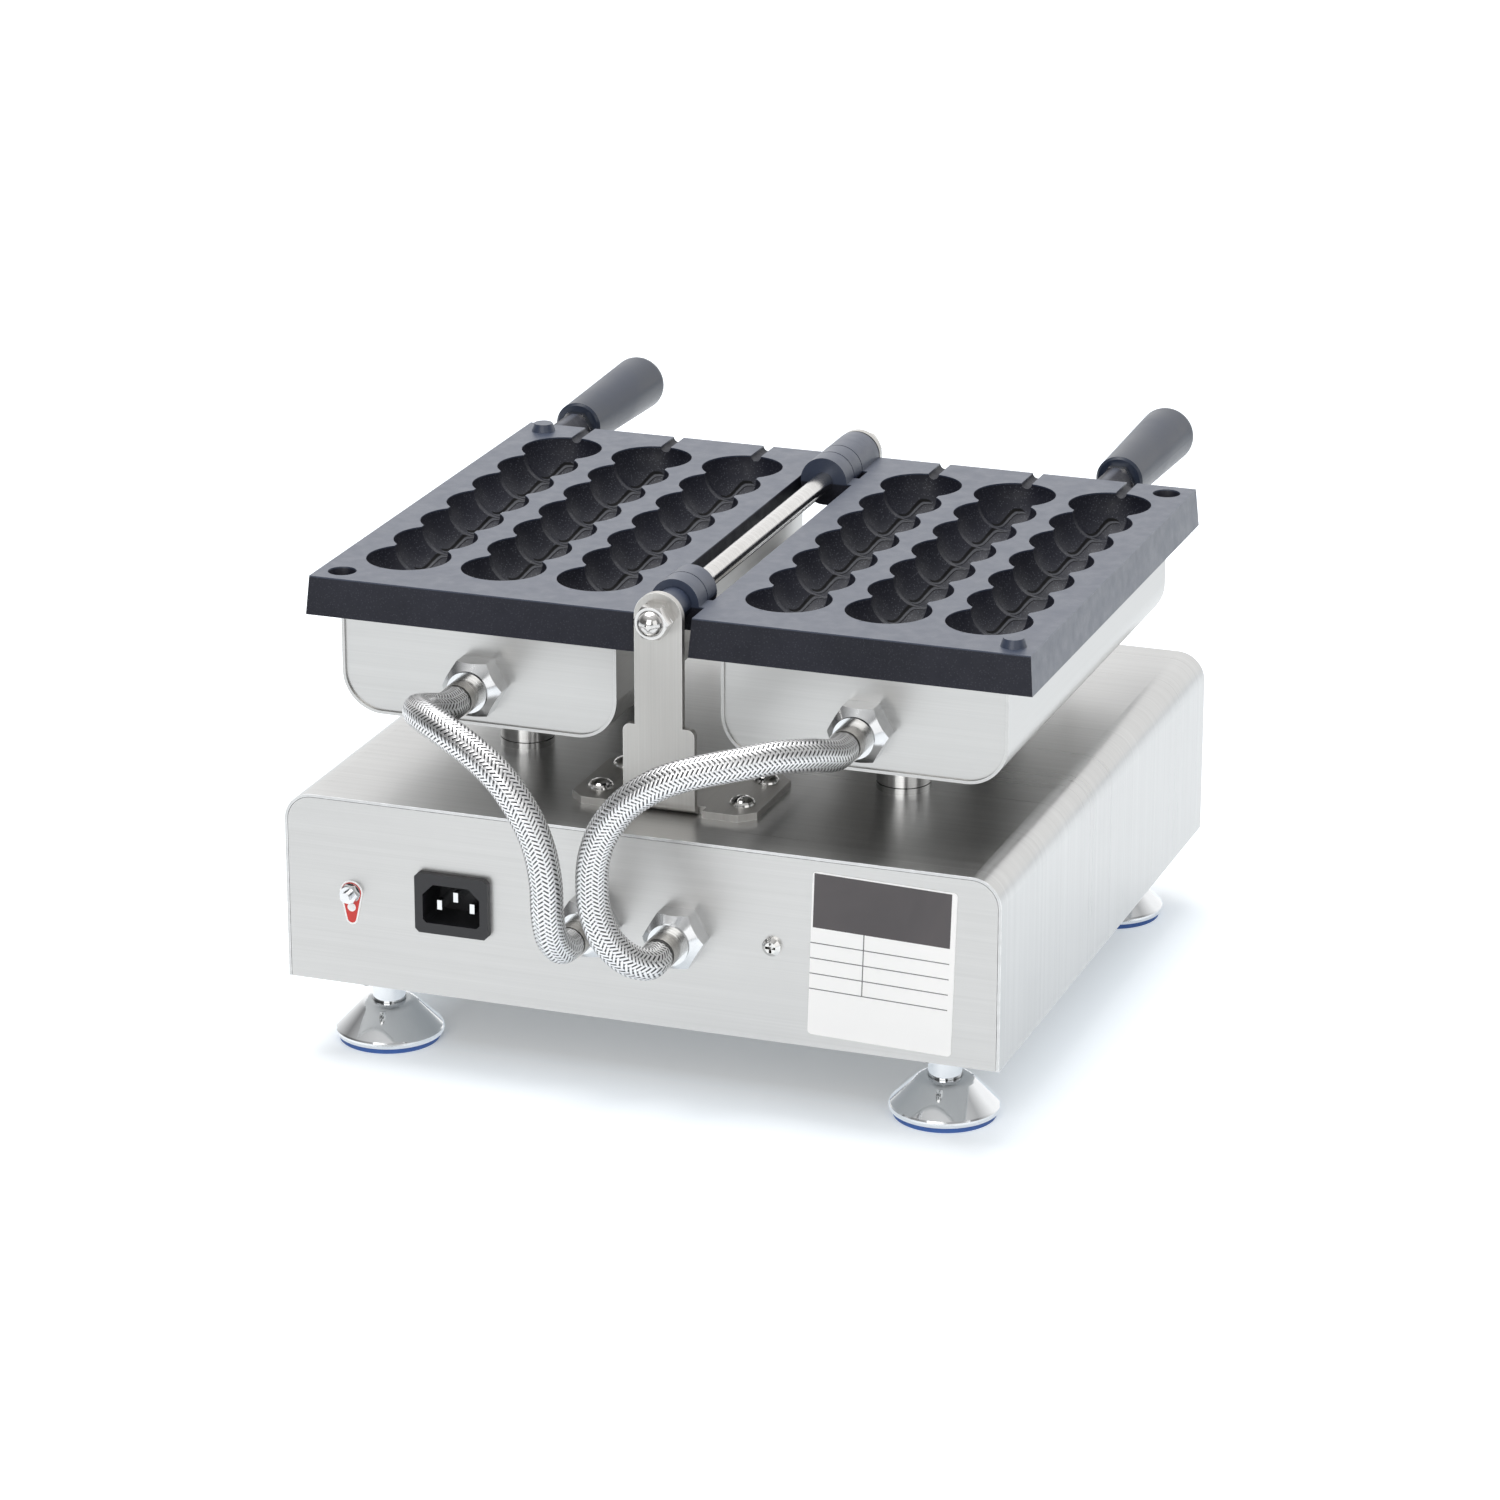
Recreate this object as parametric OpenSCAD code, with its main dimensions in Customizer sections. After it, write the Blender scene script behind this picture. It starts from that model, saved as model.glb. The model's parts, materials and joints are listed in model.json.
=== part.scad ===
/* [Base] */
// Width of the base cover
base_w = 300; // [260:1:360]
// Depth of the base, front to rear
base_d = 292; // [280:1:340]
// Height of the base box
base_h = 79; // [70:1:110]
// Radius of the cover's rounded top edges
cover_r = 12; // [6:1:20]
// Thickness of the sheet metal
sheet_t = 1.2; // [0.8:0.1:2]
// Gap round a panel that is set into a cover
panel_gap = 0.2; // [0.1:0.05:0.3]
// Depth of the flange that the bottom plate is screwed to
flange_w = 13; // [10:0.5:13]

/* [Feet] */
// Height from the floor to the base
foot_h = 33; // [28:1:50]
// Diameter of the bell's rim
bell_d = 44.6; // [34:0.2:54]
// Radius of the bell's rounded rim
rim_r = 2; // [1.5:0.1:4]
// Height of the bell
bell_h = 14.7; // [12:0.1:18]
// Slope of the bell's side, in degrees
bell_slope = 45; // [35:1:55]
// Radius of the bell's shoulder
crown_r = 6; // [3:0.5:8]
// Diameter of the neck
neck_d = 13.6; // [11:0.1:18]
// Thickness of the rubber pad
pad_t = 1.8; // [1.5:0.1:5]
// Diameter of the rubber pad
pad_d = 41; // [28:1:42]
// Diameter of the threaded stem
stem_d = 8; // [6:1:10]
// Height that the stem reaches into the base
stem_reach = 18; // [12:1:24]
// Thickness of the nut on the stem
foot_nut_t = 6; // [4:0.5:8]
// Distance from a base side to a foot's axis
foot_inset_x = 31; // [26:1:50]
// Distance from a base end to a foot's axis
foot_inset_y = 29; // [23:1:50]

/* [Hinge] */
// Height of the shaft's axis above the base
shaft_h = 81; // [80:1:95]
// Diameter of the shaft
shaft_d = 8; // [6:0.5:9]
// Radial running clearance of turning pieces
run_gap = 0.05; // [0.02:0.01:0.1]
// Distance between the outer faces of the brackets
bracket_span = 245; // [242:0.5:270]
// Distance that the plates and brackets stand forward of the base's middle
carriage_shift = 3; // [0:0.5:6]
// Thickness of a bracket
bracket_t = 3; // [2:0.5:4]
// Width of the bracket's upper part
post_w = 20; // [16:1:22]
// Width of the bracket's lower part
heel_w = 30; // [24:1:36]
// Height of the lower part above the base
heel_h = 36; // [20:1:44]
// Radius of the small shoulders
shoulder_r = 3; // [1:0.5:4]
// Inner radius of the bend
bend_r = 2; // [1:0.5:4]
// Width of the bracket's foot plate
sole_w = 78; // [66:1:90]
// Length of the bracket's foot plate
sole_l = 52; // [50:1:60]
// Chamfer of the foot plate's corners
sole_cut = 6; // [3:1:9]
// Width of the slot beside the bend
relief_w = 3; // [2:0.5:4]
// Distance between the screws across the foot plate
sole_screw_x = 60; // [50:1:66]
// Distance from the bracket's outer face to the near screws
sole_screw_near = 14; // [12:1:18]
// Distance between the screws along the foot plate
sole_screw_y = 28; // [22:1:32]

/* [Plates] */
// Distance from the shaft's axis to a plate
plate_in = 12.5; // [12:0.5:16]
// Width of a mould plate
plate_w = 138; // [134:1:150]
// Length of a mould plate
plate_l = 236; // [228:1:236]
// Thickness of a mould plate
plate_t = 16; // [14:0.5:20]
// Widening of the plate from its mating face to its underside
draft = 1.3; // [0.5:0.1:2]
// Gap between the two mating faces when the pair is closed
mate_gap = 0.5; // [0.4:0.1:0.8]
// Radius of the hinge lugs
lug_r = 10.2; // [9:0.1:11]
// Radius of the small collar beside the rear bracket
collar_r = 7; // [6.5:0.1:9]
// Width of a middle lug
lug_w = 10; // [8:0.5:12]
// Gap between neighbouring lugs
lug_gap = 0.6; // [0.4:0.1:1.5]
// Length of the small collar
collar_l = 13.5; // [10:0.5:16]
// Length of the long lug beside the front bracket
long_lug_l = 22; // [16:0.5:26]
// Distance of the pins and holes from the plate's outer side
pin_inset_x = 10; // [8:0.5:12]
// Distance of the pins and holes from the plate's ends
pin_inset_y = 10; // [9:0.5:12]
// Diameter of a locating pin at its root
pin_root_d = 10.4; // [8.5:0.1:11]
// Diameter of a locating pin at its tip
pin_tip_d = 8; // [6:0.1:8]
// Height of a locating pin
pin_h = 3.4; // [2.5:0.1:4]
// Clearance round and over a locating pin
pin_gap = 0.6; // [0.4:0.1:1]

/* [Moulds] */
// Diameter of a ball
ball_d = 34.5; // [30:0.1:35]
// Distance between balls along a stick
ball_pitch = 27.8; // [26:0.1:28.5]
// Number of balls on a stick
ball_count = 7; // [5:1:7]
// Distance from the shaft's axis to the first column
column_first = 40; // [38:0.5:44]
// Distance between columns
column_pitch = 41.3; // [40:0.1:43]
// Number of columns
column_count = 3; // [2:1:3]
// Radius of the blunt ridge between two balls
ridge_r = 11.7; // [10.5:0.1:12]
// Distance that the moulds stand forward of the plate's middle
mould_shift = 1.2; // [0:0.1:2]
// Wall of a mould cup
cup_wall = 3; // [2.5:0.1:3.2]
// Radius of the stick groove
groove_r = 2.3; // [1.5:0.1:3]

/* [Pans] */
// Distance from the shaft's axis to a pan
pan_in = 22; // [20:0.5:24]
// Width of a pan
pan_w = 118; // [116:1:122]
// Length of a pan
pan_l = 222.5; // [220:0.5:224]
// Height of a pan
pan_h = 41.4; // [38:0.1:46]
// Radius of a pan's bottom edges
pan_r = 17; // [12:0.5:20]
// Depth that a pan's end plates are set in
end_inset = 1; // [0.5:0.1:2]
// Diameter of the heater tube
tube_d = 8; // [6:0.5:8.5]
// Gap between the heater and the posts that hold the pan
heater_gap = 2; // [1:0.5:4]
// Reach of the heater's terminals
terminal_l = 6; // [4:0.5:6]
// Diameter of a heater terminal
terminal_d = 3; // [2:0.5:4]
// Thickness of a heater clamp
clamp_t = 2; // [1.5:0.5:3]
// Width of a heater clamp
clamp_w = 12; // [10:1:14]
// Diameter of the bosses under the clamps
clamp_boss_d = 8; // [6:0.5:9]
// Thickness of the insulation
wool_t = 24; // [18:1:24]
// Diameter of the posts that hold a pan
stay_d = 10; // [8:0.5:10]
// Distance from the plate's middle to the pan's posts
stay_y = 101.5; // [101:0.5:103]
// Diameter of the rest posts
rest_d = 22; // [18:1:28]
// Distance between the two rest posts under a pan
rest_span = 120; // [90:1:140]
// Chamfer of a rest post
rest_cut = 1.5; // [0.5:0.5:3]
// Height of the groove above a rest post's foot
rest_groove_h = 2.5; // [1.5:0.5:4]
// Depth and width of a rest post's groove
rest_groove = 0.5; // [0.3:0.1:0.8]

/* [Handles] */
// Distance from the right grip to the shaft's axis
grip_far = 138; // [134:0.5:142]
// Distance from the left grip to the shaft's axis
grip_near = 110; // [106:0.5:114]
// Depth of the grip's axis below the mating face
grip_drop = 7; // [6.8:0.1:8]
// Radius of the boss on the plate
boss_r = 6.6; // [6:0.1:6.8]
// Length of the boss
boss_l = 20; // [12:1:26]
// Diameter of the handle stud
stud_d = 8; // [6:0.5:8]
// Depth of the stud in the boss
stud_in = 16; // [8:1:18]
// Depth of the stud in the grip
stud_out = 30; // [20:1:50]
// Length of the grip
grip_l = 80; // [60:1:100]
// Diameter of the grip's inner end
grip_in_d = 20.6; // [18:0.1:24]
// Diameter of the grip's outer end
grip_out_d = 24.4; // [20:0.1:28]
// Chamfer of the grip's inner end
grip_cut = 1; // [0.5:0.1:2]
// Rounding of the grip's outer end
grip_r = 6; // [2:0.5:9]

/* [Nuts and screws] */
// Width across flats of a shaft or handle nut
nut_af = 13; // [12:0.1:15]
// Thickness of a shaft or handle nut
nut_t = 4; // [3:0.1:6]
// Length of a cap nut
cap_l = 9; // [8:0.1:14]
// Diameter of a screw
screw_d = 4; // [3:0.5:5]
// Diameter of a screw's head
head_d = 7.6; // [7:0.1:9]
// Height of a screw's head
head_h = 2.6; // [2:0.1:4]
// Width of the cross recess in a screw's head
recess_w = 1.1; // [0.8:0.1:1.4]
// Width across flats of a screw's nut
screw_nut_af = 7; // [6.5:0.1:8]
// Thickness of a screw's nut
screw_nut_t = 3; // [2:0.1:4]
// Diameter of a bracket bolt
bolt_d = 6; // [5:0.5:7]
// Diameter of a bracket bolt's domed head
bolt_head_d = 10.6; // [9:0.1:12]
// Height of a bracket bolt's domed head
bolt_head_h = 3.2; // [2.5:0.1:4]
// Width across flats of a bracket bolt's nut
bolt_nut_af = 10; // [9:0.1:11]
// Thickness of a bracket bolt's nut
bolt_nut_t = 5; // [3:0.1:6]

/* [Glands] */
// Width across flats of a gland
gland_af = 22; // [18:0.5:26]
// Thickness of a gland's hexagon
gland_t = 12; // [8:0.5:14]
// Length of the cone between a gland's hexagon and its nose ring
gland_cone = 2.5; // [1:0.5:4]
// Diameter of a gland's thread
gland_thread_d = 15.6; // [14:0.1:17]
// Length of a gland's thread behind its hexagon
gland_thread_l = 8; // [6:0.5:10]
// Diameter of the ring on a gland's nose
ring_d = 17; // [14:0.5:18]
// Length of the ring on a gland's nose
ring_t = 1.5; // [1:0.5:3]
// Diameter of a ferrule
ferrule_d = 13.6; // [13:0.1:15]
// Length of a ferrule
ferrule_l = 10.5; // [6:0.5:14]
// Diameter of the way through for the wires
wire_d = 8; // [5:0.5:9]
// Diameter of a braided hose
hose_d = 12.8; // [10:0.1:13]
// Height of a pan's gland below the shaft's axis
pan_gland_drop = 40; // [38:0.5:42]
// Distance between the two glands of the base
base_gland_span = 37; // [34:0.5:44]
// Height of the glands and the inlet above the base's bottom
fitting_h = 40; // [34:0.5:42]

/* [Rear panel] */
// Distance from the base's side to the inlet's middle
inlet_inset = 72.7; // [66:0.1:80]
// Width of the inlet's bezel
bezel_w = 31.3; // [30:0.1:34]
// Height of the inlet's bezel
bezel_h = 25.2; // [24:0.1:28]
// Thickness of the inlet's bezel
bezel_t = 3; // [2:0.1:4]
// Chamfer of the bezel's corners
bezel_cut = 1.6; // [1:0.1:4]
// Width of the inlet's socket
socket_w = 24.4; // [24:0.1:25]
// Height of the inlet's socket
socket_h = 16.4; // [16:0.1:17]
// Chamfer of the socket's upper corners
socket_cut = 4.5; // [3:0.1:5]
// Depth of the inlet's socket
socket_depth = 18; // [15:0.5:20]
// Wall round the inlet's socket
inlet_wall = 1.4; // [1:0.1:1.8]
// Distance between the two live pins
pin_span = 14; // [13:0.1:15]
// Height of the earth pin above the live pins
earth_rise = 4; // [3:0.1:5]
// Width of an inlet pin
blade_w = 2; // [1.5:0.1:2.5]
// Height of an inlet pin
blade_h = 4; // [3:0.1:5]
// Depth of an inlet pin's tip behind the bezel
blade_back = 5; // [2:0.5:7]
// Reach of the tabs behind the inlet
tab_l = 8; // [5:0.5:12]
// Distance from the base's side to the earth stud
earth_inset = 28.4; // [22:0.1:38]
// Height of the earth stud above the base's bottom
earth_h = 39.3; // [30:0.1:50]
// Diameter of the earth stud
earth_d = 4; // [4:0.5:6]
// Free length of the earth stud outside its nut
earth_free = 3; // [2:0.5:12]
// Width across flats of the earth stud's nuts
earth_af = 7; // [7:0.1:10]
// Thickness of an earth stud nut
earth_nut_t = 3.2; // [2.5:0.1:5]
// Diameter of the earth washer
washer_d = 8; // [7:0.5:12]
// Thickness of the earth washer
washer_t = 0.8; // [0.5:0.1:2]
// Distance from the base's other side to the single panel screw
panel_screw_inset = 93; // [86:0.5:100]

/* [Front panel] */
// Distance from the base's middle to each knob
knob_x = 82; // [70:1:92]
// Diameter of a knob's skirt
knob_d = 42; // [34:1:50]
// Thickness of a knob's skirt
skirt_t = 4; // [3:0.5:6]
// Diameter of a knob's body
knob_body_d = 30; // [24:1:32]
// Height of a knob's body in front of its skirt
knob_body_h = 12; // [8:1:18]
// Width of a knob's finger bar
bar_w = 9; // [6:0.5:12]
// Height of a knob's finger bar in front of its body
bar_h = 5; // [3:0.5:8]
// Gap between a knob and the panel
knob_lift = 1; // [0.5:0.1:2]
// Diameter of a control's spindle
spindle_d = 6; // [5:0.5:8]
// Diameter of a control's bush
bush_d = 10; // [9:0.5:14]
// Length of the spindle inside the bush
spindle_l = 10; // [6:0.5:14]
// Diameter of the timer's case
timer_d = 46; // [36:1:50]
// Depth of the timer's case
timer_l = 30; // [20:1:40]
// Width of the thermostat's case
thermo_w = 36; // [28:1:44]
// Depth of the thermostat's case
thermo_l = 26; // [18:1:36]
// Width of the rocker switch's frame
switch_w = 31; // [28:0.5:34]
// Height of the rocker switch's frame
switch_h = 25; // [22:0.5:28]
// Thickness of the rocker switch's frame
frame_t = 2.5; // [2:0.1:4]
// Width of the border round the rocker
border = 3.5; // [3:0.1:5]
// Depth of the rocker switch's case
switch_l = 24; // [20:0.5:32]
// Half of the rocker's travel, in degrees
rocker_half = 9; // [6:1:12]
// Distance from the panel's face back to the rocker's axis
trunnion_back = 3.6; // [3:0.1:5]
// Diameter of the rocker's trunnions
trunnion_d = 4; // [3:0.5:5]
// Distance from the base's middle to each lamp
lamp_x = 32; // [28:1:40]
// Diameter of a lamp's lens
lamp_d = 11; // [8:0.5:14]
// Diameter of a lamp's case
lamp_case_d = 8.6; // [6:0.1:11]
// Depth of a lamp's case
lamp_l = 22; // [14:1:30]

/* [Inner parts] */
// Width of the terminal block
block_w = 70; // [50:1:90]
// Depth of the terminal block
block_d = 24; // [18:1:32]
// Height of the terminal block
block_h = 20; // [14:1:28]
// Number of ways in the terminal block
block_ways = 6; // [3:1:8]

/* [Hidden] */
$fn = 64;

// Overrun of every cut past the face that it opens
over = 1;
// Gap between inner pieces that lie against each other
lay_gap = 0.1;
// Clearance of a screw in its hole
hole_gap = 0.2;
// Radius of a screw head's flat top as a share of the head's diameter
crown_share = 0.3;
// Length of the cross recess as a share of the head's diameter
recess_share = 0.56;
// Radius of a cap nut's dome as a share of the width across flats
dome_share = 0.42;

// Heights above the floor
base_top = foot_h + base_h;
axis_z = base_top + shaft_h;
mate_z = axis_z - mate_gap / 2;
under_z = mate_z - plate_t;
pan_z = under_z - pan_h;
fitting_z = foot_h + fitting_h;

// Places of the rear fittings across the base
inlet_x = base_w / 2 - inlet_inset;
earth_x = base_w / 2 - earth_inset;
panel_screw_x = base_w / 2 - panel_screw_inset;

// Places along the hinge, measured from the middle of the plates
plate_end = plate_l / 2;
bracket_out = bracket_span / 2;
pan_end = pan_l / 2;
plate_out = plate_in + plate_w;
pan_mid = pan_in + pan_w / 2;
pin_x = plate_out - pin_inset_x;
pin_y = plate_end - pin_inset_y;
columns = [for (i = [0:column_count - 1]) column_first + i * column_pitch];
balls = [for (i = [0:ball_count - 1]) (i - (ball_count - 1) / 2) * ball_pitch - mould_shift];

// Lug spans as [start, end], from the rear bracket forward
rear_collar = [plate_end - collar_l, plate_end];
rear_near = [rear_collar[0] - lug_gap - lug_w, rear_collar[0] - lug_gap];
rear_far = [rear_near[0] - lug_gap - lug_w, rear_near[0] - lug_gap];
front_long = [-plate_end, -plate_end + long_lug_l];
front_near = [front_long[1] + lug_gap, front_long[1] + lug_gap + lug_w];
front_far = [front_near[1] + lug_gap, front_near[1] + lug_gap + lug_w];

// Heater legs run between the columns, clear of the cups
leg_x = [for (i = [0:1]) column_first + (i + 1 / 2) * column_pitch];
bend_mid_r = (leg_x[1] - leg_x[0]) / 2;
leg_mid = (leg_x[0] + leg_x[1]) / 2;
tube_z = under_z - lay_gap - tube_d / 2;
leg_end = stay_y - stay_d / 2 - heater_gap - terminal_l;
// The heater's bend passes in front of the last ball's cup
bend_clear = ball_d / 2 + cup_wall + tube_d / 2 + heater_gap / 2;
bend_reach = sqrt(pow(bend_clear, 2) - pow(mate_z - tube_z, 2));
bend_y = balls[ball_count - 1] + bend_reach - bend_mid_r;
clamp_y = 3 * ball_pitch / 2;
clamp_z = tube_z - tube_d / 2 - lay_gap - clamp_t;

// The row of pieces is centred on the ground point below the middle of the whole
tip_y = carriage_shift + plate_end + boss_l + nut_t + grip_l;
tail_y = base_d / 2 + gland_t + ring_t + ferrule_l;
centre_shift = (tip_y - tail_y) / 2;

// The ferrules' faces, where the two braided hoses start and end
exit_y = pan_end - end_inset - carriage_shift + gland_t + ring_t + ferrule_l;
exit_z = axis_z - pan_gland_drop;
pan_exit = [pan_mid, exit_y, exit_z];
base_exit = [base_gland_span / 2, tail_y, fitting_z];

// Routes of the hoses, from the pan's ferrule to the base's ferrule
right_route = [
    pan_exit, [81, 144, 154], [84, 155, 157], [82, 166, 160], [74, 176, 161], [62, 184, 159],
    [50, 188, 154], [39, 191, 147], [31, 192, 138], [25, 192, 128], [21, 192, 117], [19, 192, 105],
    [19, 191, 93], [19, 187, 82], [18, 180, 75], base_exit
];
left_route = [
    [-pan_mid, exit_y, exit_z], [-81, 144, 154], [-76, 158, 158], [-67, 170, 160], [-56, 179, 159],
    [-44, 185, 157], [-33, 189, 154], [-23, 191, 149], [-13, 192, 141], [-5, 192, 130], [-1, 192, 119],
    [0, 192, 108], [-1, 192, 97], [-5, 191, 86], [-12, 187, 77], [-18, 180, 73],
    [-base_gland_span / 2, tail_y, fitting_z]
];
// Sides of a hose tube and rings between two points of its route
hose_sides = 10;
hose_steps = 2;

// Box outline with two corners rounded at the top, standing on y = 0
module arch(w, h, r) {
    translate([-w / 2, 0]) square([w, h - r]);
    translate([-w / 2 + r, 0]) square([w - 2 * r, h]);
    for (s = [-1, 1]) translate([s * (w / 2 - r), h - r]) circle(r);
}

// Turns a drawing in x and z into a bar along y, centred
module along_y(l) {
    rotate([90, 0, 0]) linear_extrude(l, center = true) children();
}

// Rod along y between two places
module rod(y0, y1, r) {
    translate([0, y1, 0]) rotate([90, 0, 0]) cylinder(h = y1 - y0, r = r);
}

// Hexagon along z, standing on z = 0, with its corners turned off on top
module hex(af, t) {
    corner_r = af / sqrt(3);
    intersection() {
        cylinder(h = t, r = corner_r, $fn = 6);
        union() {
            cylinder(h = t - (corner_r - af / 2), r = corner_r);
            translate([0, 0, t - (corner_r - af / 2)])
                cylinder(h = corner_r - af / 2, r1 = corner_r, r2 = af / 2);
        }
    }
}

// Nut along z with a bore that clears its thread
module nut(af, t, d) {
    difference() {
        hex(af, t);
        translate([0, 0, -over]) cylinder(h = t + 2 * over, d = d + 2 * run_gap);
    }
}

// Pan head screw pointing down, its head standing on z = 0, with a cross recess
module screw(l) {
    difference() {
        rotate_extrude() polygon([
            [0, -l], [screw_d / 2, -l], [screw_d / 2, 0], [head_d / 2, 0], [head_d / 2, head_h / 2],
            [head_d * crown_share, head_h], [0, head_h]
        ]);
        for (turn = [0, 90]) rotate([0, 0, turn]) translate([0, 0, head_h])
            cube([head_d * recess_share, recess_w, head_h], center = true);
    }
}

// Domed bolt pointing down, its head standing on z = 0
module bolt(l) {
    rotate_extrude() polygon(concat(
        [[0, -l], [bolt_d / 2, -l], [bolt_d / 2, 0]],
        [for (p = arc([0, 0], 1, 0, 90)) [p[0] * bolt_head_d / 2, p[1] * bolt_head_h]]
    ));
}

// Screws point inward: turns z-up pieces so that their top faces the rear or the front
module facing_rear() {
    rotate([-90, 0, 0]) children();
}

module facing_front() {
    rotate([90, 0, 0]) children();
}

module whole() {
    translate([0, centre_shift, 0]) children();
}

module carriage() {
    whole() translate([0, -carriage_shift, 0]) children();
}

// Left-hand pieces are drawn on the right and mirrored
module handed(side) {
    carriage() mirror([side < 0 ? 1 : 0, 0, 0]) children();
}

// Base

cover_in_w = base_w - 2 * sheet_t;
cover_in_h = base_h - sheet_t;

module panel_outline() {
    arch(cover_in_w - 2 * panel_gap, cover_in_h - panel_gap, cover_r - sheet_t - panel_gap);
}

module bracket_screw_places() {
    for (e = [-1, 1], sx = [-1, 1], k = [0, 1])
        translate([
            sx * sole_screw_x / 2,
            -carriage_shift + e * (bracket_out - sole_screw_near - k * sole_screw_y),
            base_top
        ]) children();
}

module rest_places() {
    for (sx = [-1, 1], e = [-1, 1])
        translate([sx * pan_mid, -carriage_shift + e * rest_span / 2, base_top]) children();
}

module base_cover() {
    color("silver") whole() difference() {
        translate([0, 0, foot_h]) along_y(base_d) difference() {
            arch(base_w, base_h, cover_r);
            translate([0, -over]) arch(cover_in_w, cover_in_h + over, cover_r - sheet_t);
        }
        bracket_screw_places()
            translate([0, 0, -sheet_t - over]) cylinder(h = sheet_t + 2 * over, d = bolt_d + 2 * hole_gap);
        rest_places()
            translate([0, 0, -sheet_t - over]) cylinder(h = sheet_t + 2 * over, d = screw_d + 2 * hole_gap);
    }
}

// Places on the rear panel, drawn from its outer face
module on_rear(x, z) {
    whole() translate([x, base_d / 2, z]) facing_rear() children();
}

module on_front(x, z) {
    whole() translate([x, -base_d / 2, z]) facing_front() children();
}

// A panel with a flange at its foot, which lies on the bottom plate; e is 1 at the rear and -1 in front
module panel_blank(e) {
    whole() {
        translate([0, e * (base_d - sheet_t) / 2, foot_h]) along_y(sheet_t) panel_outline();
        translate([0, e * (base_d - sheet_t - flange_w) / 2, foot_h + sheet_t * 3 / 2])
            cube([cover_in_w - 2 * panel_gap, sheet_t + flange_w, sheet_t], center = true);
    }
}

foot_x = base_w / 2 - foot_inset_x;
foot_y = base_d / 2 - foot_inset_y;
bottom_screw_y = base_d / 2 - sheet_t - flange_w / 2;

module bottom_screw_places() {
    for (sx = [-1, 1], sy = [-1, 1]) translate([sx * foot_x, sy * bottom_screw_y, foot_h]) children();
}

module bottom_screw_holes() {
    whole() bottom_screw_places()
        translate([0, 0, -over]) cylinder(h = 2 * sheet_t + 2 * over, d = screw_d + 2 * hole_gap);
}

body_w = socket_w + 2 * inlet_wall;
body_h = socket_h + 2 * inlet_wall;

module rear_panel() {
    color("silver") difference() {
        panel_blank(1);
        bottom_screw_holes();
        on_rear(inlet_x, fitting_z)
            cube([body_w + 2 * hole_gap, body_h + 2 * hole_gap, 2 * sheet_t + over], center = true);
        on_rear(earth_x, foot_h + earth_h)
            cylinder(h = 3 * sheet_t, d = earth_d + 2 * hole_gap, center = true);
        on_rear(-panel_screw_x, fitting_z)
            cylinder(h = 3 * sheet_t, d = screw_d + 2 * hole_gap, center = true);
        for (s = [-1, 1]) on_rear(s * base_gland_span / 2, fitting_z)
            cylinder(h = 3 * sheet_t, d = gland_thread_d + 2 * hole_gap, center = true);
    }
}

module front_panel() {
    color("silver") difference() {
        panel_blank(-1);
        bottom_screw_holes();
        for (s = [-1, 1]) on_front(s * knob_x, fitting_z)
            cylinder(h = 3 * sheet_t, d = bush_d + 2 * hole_gap, center = true);
        for (s = [-1, 1]) on_front(s * lamp_x, fitting_z)
            cylinder(h = 3 * sheet_t, d = lamp_case_d + 2 * hole_gap, center = true);
        on_front(0, fitting_z)
            cube([
                switch_w - border + 2 * hole_gap, switch_h - border + 2 * hole_gap, 2 * sheet_t + over
            ], center = true);
    }
}

module foot_places() {
    for (sx = [-1, 1], sy = [-1, 1]) translate([sx * foot_x, sy * foot_y, 0]) children();
}

module bottom_plate() {
    color("silver") difference() {
        whole() translate([0, 0, foot_h + sheet_t / 2])
            cube([cover_in_w - 2 * panel_gap, base_d - 2 * sheet_t - 2 * panel_gap, sheet_t], center = true);
        whole() foot_places() translate([0, 0, foot_h - over])
            cylinder(h = sheet_t + 2 * over, d = stem_d + 2 * run_gap);
        bottom_screw_holes();
    }
}

module foot_nuts() {
    color("silver") whole() foot_places()
        translate([0, 0, foot_h + sheet_t]) nut(nut_af, foot_nut_t, stem_d);
}

// Points of an arc about c, from angle a to angle b
arc_steps = 6;
function arc(c, r, a, b) = [for (i = [0:arc_steps])
    let (t = a + (b - a) * i / arc_steps)
    c + r * [cos(t), sin(t)]];

// Bell foot: rounded rim, straight slope and rounded shoulder, which share their tangents
rim_c = [bell_d / 2 - rim_r, pad_t + rim_r];
crown_z = pad_t + bell_h - crown_r;
tangent_c = rim_c[0] * sin(bell_slope) + (rim_c[1] - crown_z) * cos(bell_slope) + rim_r - crown_r;
crown_c = [max(tangent_c / sin(bell_slope), neck_d / 2), crown_z];

module foot(sx, sy) {
    color("gainsboro") whole() translate([sx * foot_x, sy * foot_y, 0])
        rotate_extrude() polygon(concat(
            [[0, pad_t]],
            arc(rim_c, rim_r, -90, 90 - bell_slope),
            arc(crown_c, crown_r, 90 - bell_slope, 90),
            [
                [neck_d / 2, pad_t + bell_h], [neck_d / 2, foot_h], [stem_d / 2, foot_h],
                [stem_d / 2, foot_h + stem_reach], [0, foot_h + stem_reach]
            ]
        ));
}

module pad(sx, sy) {
    color("steelblue") whole() translate([sx * foot_x, sy * foot_y, 0])
        cylinder(h = pad_t, d = pad_d);
}

// Brackets, drawn for the rear end with the outer face at y = 0 and the base's top at z = 0

bend_out = bend_r + bracket_t;

module bend_profile() {
    translate([-bend_out, bend_out]) intersection() {
        difference() {
            circle(bend_out);
            circle(bend_r);
        }
        translate([0, -bend_out]) square(bend_out);
    }
}

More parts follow.
